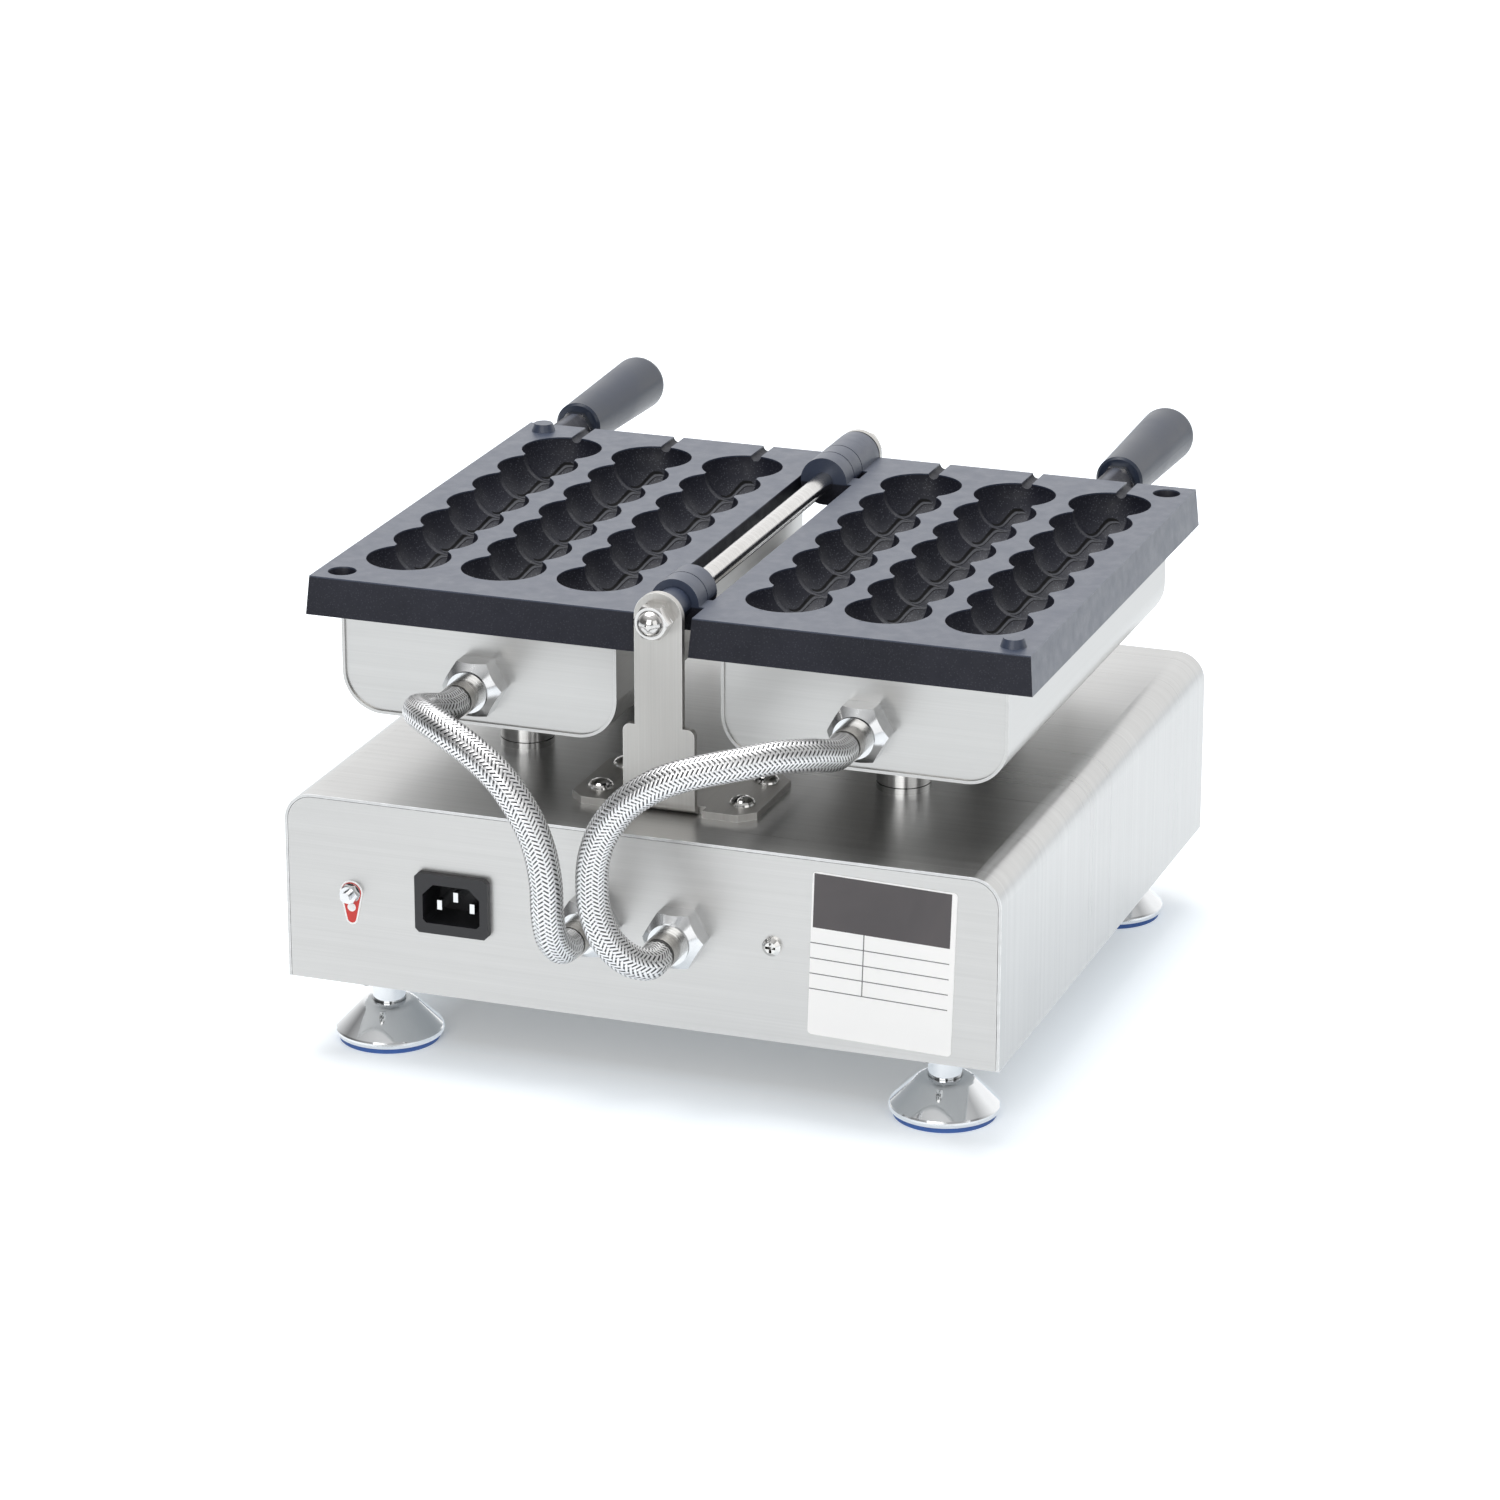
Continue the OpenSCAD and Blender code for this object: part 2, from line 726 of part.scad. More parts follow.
module bracket_post() {
    rotate([90, 0, 0]) linear_extrude(bracket_t) difference() {
        union() {
            arch(heel_w, heel_h, shoulder_r);
            translate([-post_w / 2, 0]) square([post_w, shaft_h]);
            translate([0, shaft_h]) circle(post_w / 2);
        }
        translate([-heel_w, 0]) square([2 * heel_w, bend_out]);
    }
}

module bracket_sole() {
    cut_w = heel_w / 2 + relief_w;
    linear_extrude(bracket_t) polygon([
        [-cut_w, -bend_out], [-cut_w, 0], [-sole_w / 2 + sole_cut, 0], [-sole_w / 2, -sole_cut],
        [-sole_w / 2, -sole_l + sole_cut], [-sole_w / 2 + sole_cut, -sole_l],
        [sole_w / 2 - sole_cut, -sole_l], [sole_w / 2, -sole_l + sole_cut],
        [sole_w / 2, -sole_cut], [sole_w / 2 - sole_cut, 0], [cut_w, 0], [cut_w, -bend_out]
    ]);
}

module bracket_body() {
    difference() {
        union() {
            bracket_post();
            bracket_sole();
            rotate([90, 0, 90]) linear_extrude(heel_w, center = true) bend_profile();
        }
        translate([0, 0, shaft_h]) rod(-bracket_t - over, over, shaft_d / 2 + run_gap);
        for (sx = [-1, 1], k = [0, 1])
            translate([sx * sole_screw_x / 2, -sole_screw_near - k * sole_screw_y, -over])
                cylinder(h = bracket_t + 2 * over, d = bolt_d + 2 * hole_gap);
    }
}

module bracket(e) {
    color("silver") carriage() mirror([0, e < 0 ? 1 : 0, 0])
        translate([0, bracket_out, base_top]) bracket_body();
}

module bracket_screws() {
    color("whitesmoke") whole() bracket_screw_places() {
        translate([0, 0, bracket_t]) bolt(bracket_t + sheet_t + 3 / 2 * bolt_nut_t);
        translate([0, 0, -sheet_t - bolt_nut_t]) nut(bolt_nut_af, bolt_nut_t, bolt_d);
    }
}

module hinge_shaft() {
    end_y = bracket_out + nut_t + cap_l / 2;
    color("gainsboro") carriage() translate([0, 0, axis_z]) rod(-end_y, end_y, shaft_d / 2);
}

module shaft_nuts() {
    color("gainsboro") carriage() translate([0, 0, axis_z]) {
        translate([0, bracket_out, 0]) facing_rear() nut(nut_af, nut_t, shaft_d);
        translate([0, -bracket_out, 0]) facing_front() nut(nut_af, nut_t, shaft_d);
    }
}

// Cap nut along z with a domed end and a blind bore
module cap_nut() {
    dome_r = nut_af * dome_share;
    difference() {
        union() {
            hex(nut_af, cap_l / 2);
            translate([0, 0, cap_l - dome_r]) intersection() {
                sphere(dome_r);
                translate([0, 0, dome_r / 2]) cube([2 * dome_r, 2 * dome_r, dome_r], center = true);
            }
            cylinder(h = cap_l - dome_r, r = dome_r);
        }
        translate([0, 0, -over]) cylinder(h = cap_l / 2 + over + lay_gap, d = shaft_d + 2 * run_gap);
    }
}

module shaft_cap_nuts() {
    color("gainsboro") carriage() translate([0, 0, axis_z]) {
        translate([0, bracket_out + nut_t, 0]) facing_rear() cap_nut();
        translate([0, -bracket_out - nut_t, 0]) facing_front() cap_nut();
    }
}

rest_h = pan_z - base_top;
tap_l = rest_h / 2;

module rest_posts() {
    color("gainsboro") whole() rest_places() difference() {
        union() {
            cylinder(h = rest_h - rest_cut, d = rest_d);
            translate([0, 0, rest_h - rest_cut])
                cylinder(h = rest_cut, d1 = rest_d, d2 = rest_d - 2 * rest_cut);
        }
        translate([0, 0, rest_groove_h]) rotate_extrude()
            translate([rest_d / 2 - rest_groove, 0]) square([rest_groove + over, rest_groove]);
        translate([0, 0, -over]) cylinder(h = tap_l + over, d = screw_d + 2 * run_gap);
    }
}

module post_screws() {
    color("gainsboro") whole() rest_places()
        translate([0, 0, -sheet_t]) mirror([0, 0, 1]) screw(sheet_t + tap_l - over);
}

// Rear fittings, drawn outward from the panel's outer face at z = 0

module chamfered_plate(w, h, t, low_cut, high_cut) {
    linear_extrude(t) polygon([
        [-w / 2 + low_cut, -h / 2], [w / 2 - low_cut, -h / 2], [w / 2, -h / 2 + low_cut],
        [w / 2, h / 2 - high_cut], [w / 2 - high_cut, h / 2], [-w / 2 + high_cut, h / 2],
        [-w / 2, h / 2 - high_cut], [-w / 2, -h / 2 + low_cut]
    ]);
}

// On the rear panel the drawing's y axis points down, so the socket is turned upright
module power_inlet() {
    inlet_depth = socket_depth - bezel_t + inlet_wall;
    color("dimgray") on_rear(inlet_x, fitting_z) rotate([0, 0, 180]) difference() {
        union() {
            chamfered_plate(bezel_w, bezel_h, bezel_t, bezel_cut, bezel_cut);
            translate([0, 0, -inlet_depth / 2]) cube([body_w, body_h, inlet_depth], center = true);
        }
        translate([0, 0, bezel_t - socket_depth])
            chamfered_plate(socket_w, socket_h, socket_depth + over, inlet_wall, socket_cut);
        for (q = inlet_blades) translate([q[0], q[1], -inlet_depth])
            cube([blade_w + 2 * run_gap, blade_h + 2 * run_gap, 4 * inlet_wall], center = true);
    }
}

inlet_blades = [[-pin_span / 2, -earth_rise / 2], [0, earth_rise / 2], [pin_span / 2, -earth_rise / 2]];

module inlet_pins() {
    tip = bezel_t - blade_back;
    tail = bezel_t - socket_depth - inlet_wall - tab_l;
    color("gold") on_rear(inlet_x, fitting_z) rotate([0, 0, 180])
        for (q = inlet_blades) translate([q[0], q[1], (tip + tail) / 2])
            cube([blade_w, blade_h, tip - tail], center = true);
}

earth_stack = washer_t + earth_nut_t;

module earth_stud() {
    color("silver") on_rear(earth_x, foot_h + earth_h) {
        translate([0, 0, -sheet_t - earth_nut_t])
            cylinder(h = sheet_t + earth_nut_t + earth_stack + earth_free, d = earth_d);
        translate([0, 0, -sheet_t - 2 * earth_nut_t]) hex(earth_af, earth_nut_t);
    }
}

module earth_nuts() {
    color("silver") on_rear(earth_x, foot_h + earth_h) {
        difference() {
            cylinder(h = washer_t, d = washer_d);
            translate([0, 0, -over]) cylinder(h = washer_t + 2 * over, d = earth_d + 2 * run_gap);
        }
        translate([0, 0, washer_t]) nut(earth_af, earth_nut_t, earth_d);
        translate([0, 0, -sheet_t - earth_nut_t]) nut(earth_af, earth_nut_t, earth_d);
    }
}

module panel_screws() {
    color("silver") on_rear(-panel_screw_x, fitting_z) {
        screw(sheet_t + 2 * screw_nut_t);
        translate([0, 0, -sheet_t - screw_nut_t]) nut(screw_nut_af, screw_nut_t, screw_d);
    }
    color("silver") whole() bottom_screw_places() {
        mirror([0, 0, 1]) screw(2 * sheet_t + 2 * screw_nut_t);
        translate([0, 0, 2 * sheet_t]) nut(screw_nut_af, screw_nut_t, screw_d);
    }
}

// Gland along z: thread behind the wall at z < 0, hexagon, cone and nose ring in front of it
module gland(wall) {
    difference() {
        union() {
            hex(gland_af, gland_t - gland_cone);
            translate([0, 0, gland_t - gland_cone]) cylinder(h = gland_cone, d1 = gland_af, d2 = ring_d);
            translate([0, 0, -gland_thread_l]) cylinder(h = gland_thread_l + over, d = gland_thread_d);
            translate([0, 0, -wall - gland_thread_l / 2]) cylinder(h = gland_thread_l / 2, d = gland_af);
            translate([0, 0, gland_t - over]) cylinder(h = ring_t + over, d = ring_d);
        }
        translate([0, 0, -gland_thread_l - over])
            cylinder(h = gland_thread_l + gland_t + ring_t + 2 * over, d = wire_d);
    }
}

module ferrule() {
    translate([0, 0, gland_t + ring_t]) difference() {
        cylinder(h = ferrule_l, d = ferrule_d);
        translate([0, 0, -over]) cylinder(h = ferrule_l + 2 * over, d = wire_d);
    }
}

module base_glands() {
    color("gainsboro") for (s = [-1, 1]) on_rear(s * base_gland_span / 2, fitting_z) gland(sheet_t);
}

module base_ferrules() {
    color("gray") for (s = [-1, 1]) on_rear(s * base_gland_span / 2, fitting_z) ferrule();
}

// Smooth curve through the route's points
function spline(a, b, c, d, t) =
    (2 * b + (c - a) * t + (2 * a - 5 * b + 4 * c - d) * t * t + (3 * b - a - 3 * c + d) * t * t * t) / 2;

function route_point(p, i, t) =
    let (n = len(p) - 1)
    spline(p[max(i - 1, 0)], p[i], p[min(i + 1, n)], p[min(i + 2, n)], t);

function sampled(p) = concat(
    [for (i = [0:len(p) - 2], k = [0:hose_steps - 1]) route_point(p, i, k / hose_steps)],
    [p[len(p) - 1]]
);

function unit(v) = v / norm(v);

// Direction of the curve at each ring; both ends leave square to their ferrules
function heading(c, i) =
    (i == 0) ? [0, 1, 0] :
    (i == len(c) - 1) ? [0, -1, 0] :
    unit(c[i + 1] - c[i - 1]);

// Side vector that is carried along the curve with no twist
function carried(c, i) =
    (i == 0) ? [1, 0, 0] :
    let (u = carried(c, i - 1), h = heading(c, i))
    unit(u - (u * h) * h);

module tube(route, d) {
    c = sampled(route);
    n = len(c);
    rings = [for (i = [0:n - 1])
        let (u = carried(c, i), h = heading(c, i), w = cross(h, u))
        for (k = [0:hose_sides - 1])
            c[i] + d / 2 * (cos(360 * k / hose_sides) * u + sin(360 * k / hose_sides) * w)];
    walls = [for (i = [0:n - 2], k = [0:hose_sides - 1])
        let (a = i * hose_sides + k, b = i * hose_sides + (k + 1) % hose_sides)
        [a, a + hose_sides, b + hose_sides, b]];
    near_end = [[for (k = [0:hose_sides - 1]) k]];
    far_end = [[for (k = [hose_sides - 1:-1:0]) (n - 1) * hose_sides + k]];
    polyhedron(rings, concat(walls, near_end, far_end));
}

module right_hose() {
    color("lightgray") whole() tube(right_route, hose_d);
}

module left_hose() {
    color("lightgray") whole() tube(left_route, hose_d);
}

// Controls behind the front panel, drawn outward from the panel's outer face at z = 0

module bushed(l) {
    difference() {
        union() {
            children();
            translate([0, 0, -sheet_t - over]) cylinder(h = sheet_t + over, d = bush_d);
        }
        translate([0, 0, -spindle_l - over]) cylinder(h = spindle_l + 2 * over, d = spindle_d + 2 * run_gap);
    }
}

module thermostat() {
    color("tan") on_front(-knob_x, fitting_z) bushed(thermo_l)
        translate([0, 0, -sheet_t - thermo_l / 2]) cube([thermo_w, thermo_w, thermo_l], center = true);
}

module timer() {
    color("dimgray") on_front(knob_x, fitting_z) bushed(timer_l)
        translate([0, 0, -sheet_t - timer_l]) cylinder(h = timer_l, d = timer_d);
}

module control_knob() {
    difference() {
        union() {
            translate([0, 0, knob_lift]) rotate_extrude() polygon([
                [0, 0], [knob_d / 2, 0], [knob_d / 2, skirt_t / 2], [knob_d / 2 - skirt_t / 2, skirt_t],
                [knob_body_d / 2, skirt_t], [knob_body_d / 2 - skirt_t / 4, skirt_t + knob_body_h],
                [0, skirt_t + knob_body_h]
            ]);
            translate([0, 0, knob_lift + skirt_t]) linear_extrude(knob_body_h + bar_h) {
                square([bar_w, knob_body_d - bar_w], center = true);
                for (s = [-1, 1]) translate([0, s * (knob_body_d - bar_w) / 2]) circle(d = bar_w);
            }
            translate([0, 0, -spindle_l + over]) cylinder(h = spindle_l + knob_lift, d = spindle_d);
        }
        translate([0, knob_d / 2 - skirt_t / 2, knob_lift + skirt_t])
            cube([skirt_t / 4, skirt_t, skirt_t / 2], center = true);
    }
}

module timer_knob() {
    color("black") on_front(knob_x, fitting_z) rotate([0, 0, 180]) control_knob();
}

module thermostat_knob() {
    color("black") on_front(-knob_x, fitting_z) rotate([0, 0, 180]) control_knob();
}

// Rocker switch: the rocker tips on trunnions just behind the panel
window_w = switch_w - 2 * border;
window_h = switch_h - 2 * border;
rocker_gap = 0.4;
// Width of a lens's tip as a share of its case
lens_share = 0.8;
// Half lengths of the rocker's foot and crest as shares of its reach
root_share = 0.7;
crest_share = 0.84;
trunnion_z = -trunnion_back;
rocker_face = frame_t + rocker_gap;

module switch_frame() {
    color("black") on_front(0, fitting_z) difference() {
        union() {
            translate([0, 0, frame_t / 2]) cube([switch_w, switch_h, frame_t], center = true);
            translate([0, 0, (frame_t - switch_l) / 2])
                cube([switch_w - border, switch_h - border, switch_l + frame_t], center = true);
        }
        translate([0, 0, frame_t + over - (switch_l - border + frame_t + over) / 2])
            cube([window_w, window_h, switch_l - border + frame_t + over], center = true);
        translate([0, 0, trunnion_z]) rotate([0, 90, 0])
            cylinder(h = switch_w - border - sheet_t, d = trunnion_d + 2 * run_gap, center = true);
    }
}

module rocker_outline() {
    reach = window_h / 2 - rocker_gap;
    root = reach * root_share;
    waist = reach * cos(2 * rocker_half);
    crest = reach * crest_share;
    face = rocker_face - trunnion_z;
    polygon([
        [-root, -window_h / 2], [root, -window_h / 2], [waist, 0], [crest, face + crest * sin(rocker_half)],
        [0, face], [-crest, face + crest * sin(rocker_half)], [-waist, 0]
    ]);
}

module power_rocker() {
    rocker_w = window_w - 2 * rocker_gap;
    color("red") on_front(0, fitting_z) translate([0, 0, trunnion_z]) rotate([rocker_half, 0, 0]) union() {
        rotate([90, 0, 90]) linear_extrude(rocker_w, center = true) rocker_outline();
        rotate([0, 90, 0]) cylinder(h = window_w + sheet_t, d = trunnion_d, center = true);
    }
}

module indicator_lamps() {
    color("orange") for (s = [-1, 1]) on_front(s * lamp_x, fitting_z) {
        cylinder(h = frame_t / 2, d = lamp_d);
        translate([0, 0, frame_t / 2])
            cylinder(h = frame_t, d1 = (lamp_d + lamp_case_d) / 2, d2 = lamp_case_d * lens_share);
        translate([0, 0, -lamp_l]) cylinder(h = lamp_l, d = lamp_case_d);
    }
}

module terminal_block() {
    way = block_w / block_ways;
    color("ivory") whole() translate([0, 0, foot_h + sheet_t]) difference() {
        translate([-block_w / 2, -block_d / 2, 0]) cube([block_w, block_d, block_h]);
        for (i = [0:block_ways - 2]) translate([-block_w / 2 + (i + 1) * way, 0, block_h])
            cube([way / 5, block_d + 2 * over, block_h / 2], center = true);
        for (i = [0:block_ways - 1]) translate([-block_w / 2 + (i + 1 / 2) * way, 0, block_h / 2])
            cylinder(h = block_h / 2 + over, d = screw_d);
    }
}

// Mould plates, drawn on the right-hand side with the shaft's axis along y at z = axis_z

// Section of the drafted slab, wider below than at its mating face
module draft_section(half) {
    polygon([
        [-half - draft, 0], [half + draft, 0], [half, plate_t], [-half, plate_t]
    ]);
}

module slab() {
    translate([plate_in + plate_w / 2, 0, under_z]) intersection() {
        along_y(plate_l + 2 * draft) draft_section(plate_w / 2);
        rotate([0, 0, 90]) along_y(plate_w + 2 * draft) draft_section(plate_end);
    }
}

module cups() {
    intersection() {
        for (x = columns, y = balls) translate([x, y, mate_z]) sphere(ball_d / 2 + cup_wall);
        translate([plate_in, -plate_end, under_z - pan_h])
            cube([plate_w, plate_l, pan_h + over]);
    }
}

module moulds() {
    front_y = -plate_end - draft - over;
    for (x = columns) translate([x, 0, mate_z]) {
        for (y = balls) translate([0, y, 0]) sphere(ball_d / 2);
        rod(balls[0], balls[ball_count - 1], ridge_r);
        rod(front_y, balls[0], groove_r);
    }
}

module lug(span, r) {
    translate([0, 0, axis_z]) rod(span[0], span[1], r);
    translate([0, span[0], max(under_z, axis_z - r)])
        cube([plate_in + draft, span[1] - span[0], mate_z - max(under_z, axis_z - r)]);
}

stays = [for (x = leg_x, e = [-1, 1]) [x, e * stay_y]];
stay_l = pan_h - sheet_t;

module plate(lugs, radii, pin_end, grip_x) {
    difference() {
        union() {
            slab();
            cups();
            for (i = [0:len(lugs) - 1]) lug(lugs[i], radii[i]);
            translate([grip_x, 0, mate_z - grip_drop]) rod(-plate_end - boss_l, -plate_end + over, boss_r);
            translate([pin_x, pin_end * pin_y, mate_z - over]) cylinder(h = over, d = pin_root_d);
            translate([pin_x, pin_end * pin_y, mate_z]) cylinder(h = pin_h, d1 = pin_root_d, d2 = pin_tip_d);
            for (q = stays) translate([q[0], q[1], under_z - stay_l]) cylinder(h = stay_l + over, d = stay_d);
            for (e = [-1, 1]) translate([leg_mid, e * clamp_y, clamp_z + clamp_t])
                cylinder(h = under_z - clamp_z, d = clamp_boss_d);
        }
        moulds();
        translate([0, 0, axis_z]) rod(-plate_end - over, plate_end + over, shaft_d / 2 + run_gap);
        translate([pin_x, -pin_end * pin_y, mate_z - pin_h - pin_gap])
            cylinder(h = pin_h + pin_gap, d1 = pin_tip_d + 2 * pin_gap, d2 = pin_root_d + 2 * pin_gap);
        translate([pin_x, -pin_end * pin_y, mate_z - lay_gap])
            cylinder(h = over, d = pin_root_d + 2 * pin_gap);
        translate([grip_x, 0, mate_z - grip_drop])
            rod(-plate_end - boss_l - over, -plate_end - boss_l + stud_in, stud_d / 2 + run_gap);
        for (q = stays) translate([q[0], q[1], under_z - stay_l - over])
            cylinder(h = stay_l / 2 + over, d = screw_d + 2 * run_gap);
        for (e = [-1, 1]) translate([leg_mid, e * clamp_y, clamp_z - over])
            cylinder(h = tube_d + over, d = screw_d + 2 * run_gap);
    }
}

module right_plate() {
    color("dimgray") handed(1)
        plate([rear_collar, rear_far, front_near], [collar_r, lug_r, lug_r], -1, grip_far);
}

module left_plate() {
    color("dimgray") handed(-1)
        plate([rear_near, front_long, front_far], [lug_r, lug_r, lug_r], 1, grip_near);
}

// Pans, heaters and insulation

module pan_shell() {
    in_w = pan_w - 2 * sheet_t;
    in_h = pan_h - sheet_t;
    translate([pan_mid, 0, under_z]) difference() {
        mirror([0, 0, 1]) along_y(pan_l) arch(pan_w, pan_h, pan_r);
        translate([0, 0, over]) mirror([0, 0, 1]) along_y(pan_l - 2 * sheet_t - 2 * end_inset)
            arch(in_w, in_h + over, pan_r - sheet_t);
        for (e = [-1, 1]) translate([0, e * (pan_end + (over - end_inset) / 2), over]) mirror([0, 0, 1])
            along_y(end_inset + over) arch(in_w, in_h + over, pan_r - sheet_t);
        for (q = stays) translate([q[0] - pan_mid, q[1], -pan_h - over])
            cylinder(h = sheet_t + 2 * over, d = screw_d + 2 * hole_gap);
        translate([0, 0, axis_z - pan_gland_drop - under_z])
            rod(pan_end - end_inset - sheet_t - over, pan_end + over, gland_thread_d / 2 + hole_gap);
    }
}

module heater() {
    translate([0, 0, tube_z]) {
        for (x = leg_x) translate([x, 0, 0]) {
            rod(-leg_end, bend_y, tube_d / 2);
            rod(-leg_end - terminal_l, -leg_end, terminal_d / 2);
        }
        translate([leg_mid, bend_y, 0])
            rotate_extrude(angle = 180) translate([bend_mid_r, 0]) circle(tube_d / 2);
    }
}

module heater_clamps() {
    clamp_l = leg_x[1] - leg_x[0] + 2 * tube_d;
    for (e = [-1, 1]) translate([leg_mid, e * clamp_y, clamp_z]) {
        difference() {
            translate([-clamp_l / 2, -clamp_w / 2, 0]) cube([clamp_l, clamp_w, clamp_t]);
            translate([0, 0, -over]) cylinder(h = clamp_t + 2 * over, d = screw_d + 2 * hole_gap);
        }
        mirror([0, 0, 1]) screw(clamp_t + tube_d / 2);
    }
}

module insulation() {
    wool_w = pan_w - 2 * sheet_t - 2 * lay_gap;
    wool_l = 2 * (stay_y - stay_d / 2 - heater_gap / 2);
    wool_z = pan_z + sheet_t + lay_gap + wool_t;
    translate([pan_mid, 0, wool_z]) mirror([0, 0, 1]) along_y(wool_l) intersection() {
        translate([0, wool_t - pan_h]) arch(wool_w, pan_h, pan_r - sheet_t - lay_gap);
        translate([-wool_w / 2, 0]) square([wool_w, wool_t]);
    }
}

module grip() {
    translate([0, 0, nut_t]) rotate_extrude() difference() {
        union() {
            polygon([
                [0, 0], [grip_in_d / 2 - grip_cut, 0], [grip_in_d / 2, grip_cut],
                [grip_out_d / 2, grip_l - grip_r], [0, grip_l - grip_r]
            ]);
            translate([grip_out_d / 2 - grip_r, grip_l - grip_r]) circle(grip_r);
            translate([0, grip_l - grip_r]) square([grip_out_d / 2 - grip_r, grip_r]);
        }
        translate([-over, -over]) square([stud_d / 2 + run_gap + over, stud_out + over + lay_gap]);
    }
}

// Handle pieces point forward from the boss's end
module on_boss(side, grip_x) {
    handed(side) translate([grip_x, -plate_end - boss_l, mate_z - grip_drop]) facing_front() children();
}

module jam_nut() {
    nut(nut_af, nut_t, stud_d);
}

module handle_stud() {
    translate([0, 0, -stud_in + lay_gap]) cylinder(h = stud_in + nut_t + stud_out - lay_gap, d = stud_d);
}

module on_pan_end(side) {
    handed(side) translate([pan_mid, pan_end - end_inset, axis_z - pan_gland_drop]) facing_rear() children();
}

module pan_screws() {
    for (q = stays) translate([q[0], q[1], pan_z]) mirror([0, 0, 1]) screw(sheet_t + stay_l / 2 - over);
}

base_cover();
rear_panel();
front_panel();
bottom_plate();
foot_nuts();
bracket(1);  // rear_bracket
bracket(-1);  // front_bracket
bracket_screws();
hinge_shaft();
shaft_nuts();
shaft_cap_nuts();
rest_posts();
post_screws();
power_inlet();
inlet_pins();
earth_stud();
earth_nuts();
panel_screws();
base_glands();
base_ferrules();
right_hose();
left_hose();
thermostat();
timer();
switch_frame();
indicator_lamps();
terminal_block();
right_plate();
color("silver") handed(1) pan_shell();  // right_pan
color("darkgray") handed(1) heater();  // right_heater
color("silver") handed(1) heater_clamps();  // right_heater_clamps
color("white") handed(1) insulation();  // right_insulation
color("black") on_boss(1, grip_far) grip();  // right_grip
color("silver") on_boss(1, grip_far) handle_stud();  // right_handle_stud
color("silver") on_boss(1, grip_far) jam_nut();  // right_jam_nut
color("gainsboro") on_pan_end(1) gland(sheet_t);  // right_gland
color("gray") on_pan_end(1) ferrule();  // right_ferrule
color("silver") handed(1) pan_screws();  // right_pan_screws
left_plate();
color("silver") handed(-1) pan_shell();  // left_pan
color("darkgray") handed(-1) heater();  // left_heater
color("silver") handed(-1) heater_clamps();  // left_heater_clamps
color("white") handed(-1) insulation();  // left_insulation
color("black") on_boss(-1, grip_near) grip();  // left_grip
color("silver") on_boss(-1, grip_near) handle_stud();  // left_handle_stud
color("silver") on_boss(-1, grip_near) jam_nut();  // left_jam_nut
color("gainsboro") on_pan_end(-1) gland(sheet_t);  // left_gland
color("gray") on_pan_end(-1) ferrule();  // left_ferrule
color("silver") handed(-1) pan_screws();  // left_pan_screws
timer_knob();
thermostat_knob();
power_rocker();
foot(1, -1);  // front_right_foot
foot(-1, -1);  // front_left_foot
foot(1, 1);  // rear_right_foot
foot(-1, 1);  // rear_left_foot
pad(1, -1);  // front_right_pad
pad(-1, -1);  // front_left_pad
pad(1, 1);  // rear_right_pad
pad(-1, 1);  // rear_left_pad
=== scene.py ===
# %% [markdown]
# # A waffle maker for lollipop waffles
# The real machine is a flat steel box on four chrome feet. Two brackets on it carry one shaft,
# and two cast plates with ball moulds turn on the shaft. It is seen from behind, opened flat.
# The solids come from the part's own frame. This script gives every one of them a finish,
# and models the hoses' braid, the labels and the scales.

# %% Load the frame
import json
import math
import bmesh
import bpy
import numpy as np
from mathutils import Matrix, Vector


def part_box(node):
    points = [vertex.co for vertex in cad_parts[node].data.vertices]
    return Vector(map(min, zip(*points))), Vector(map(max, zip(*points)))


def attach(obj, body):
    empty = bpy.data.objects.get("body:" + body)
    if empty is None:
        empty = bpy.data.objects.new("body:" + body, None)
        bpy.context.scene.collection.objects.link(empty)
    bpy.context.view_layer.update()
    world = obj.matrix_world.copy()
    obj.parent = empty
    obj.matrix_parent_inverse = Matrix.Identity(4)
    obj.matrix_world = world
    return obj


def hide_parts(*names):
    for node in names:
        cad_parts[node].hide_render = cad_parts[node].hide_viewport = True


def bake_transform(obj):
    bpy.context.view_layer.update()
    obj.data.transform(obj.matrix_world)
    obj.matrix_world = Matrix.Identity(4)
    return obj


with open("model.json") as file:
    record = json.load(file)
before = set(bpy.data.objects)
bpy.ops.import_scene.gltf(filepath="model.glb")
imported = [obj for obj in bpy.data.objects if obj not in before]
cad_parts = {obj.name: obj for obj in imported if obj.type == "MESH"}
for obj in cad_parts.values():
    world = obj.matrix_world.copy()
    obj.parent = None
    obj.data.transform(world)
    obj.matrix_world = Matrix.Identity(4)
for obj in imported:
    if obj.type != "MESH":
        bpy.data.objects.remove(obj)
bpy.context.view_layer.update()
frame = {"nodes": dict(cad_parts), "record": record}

nodes = frame["nodes"]

# %% [markdown]
# ## The camera
# The photograph was taken from behind and a little above, with a long lens, so the lines of the
# machine hardly meet. The camera could be placed by eye. Here its place and direction were worked
# out from the corners of the base and the plates, and they are used as they came.

# %% Place the camera
CAMERA_PLACE = Vector((-0.72073, 2.03916, 0.85094))
CAMERA_LOOK = Vector((0.32007, -0.88731, -0.33203))
CAMERA_LENS = 131.1

camera_turn = CAMERA_LOOK.to_track_quat("-Z", "Y").to_euler()
bpy.ops.object.camera_add(location=CAMERA_PLACE, rotation=camera_turn)
camera = bpy.context.object
camera.name = "photo_camera"
camera.data.lens = CAMERA_LENS
camera.data.sensor_width = 36
camera.data.clip_end = 30
bpy.context.scene.camera = camera
print("camera at", tuple(round(v, 3) for v in CAMERA_PLACE), "lens", CAMERA_LENS)

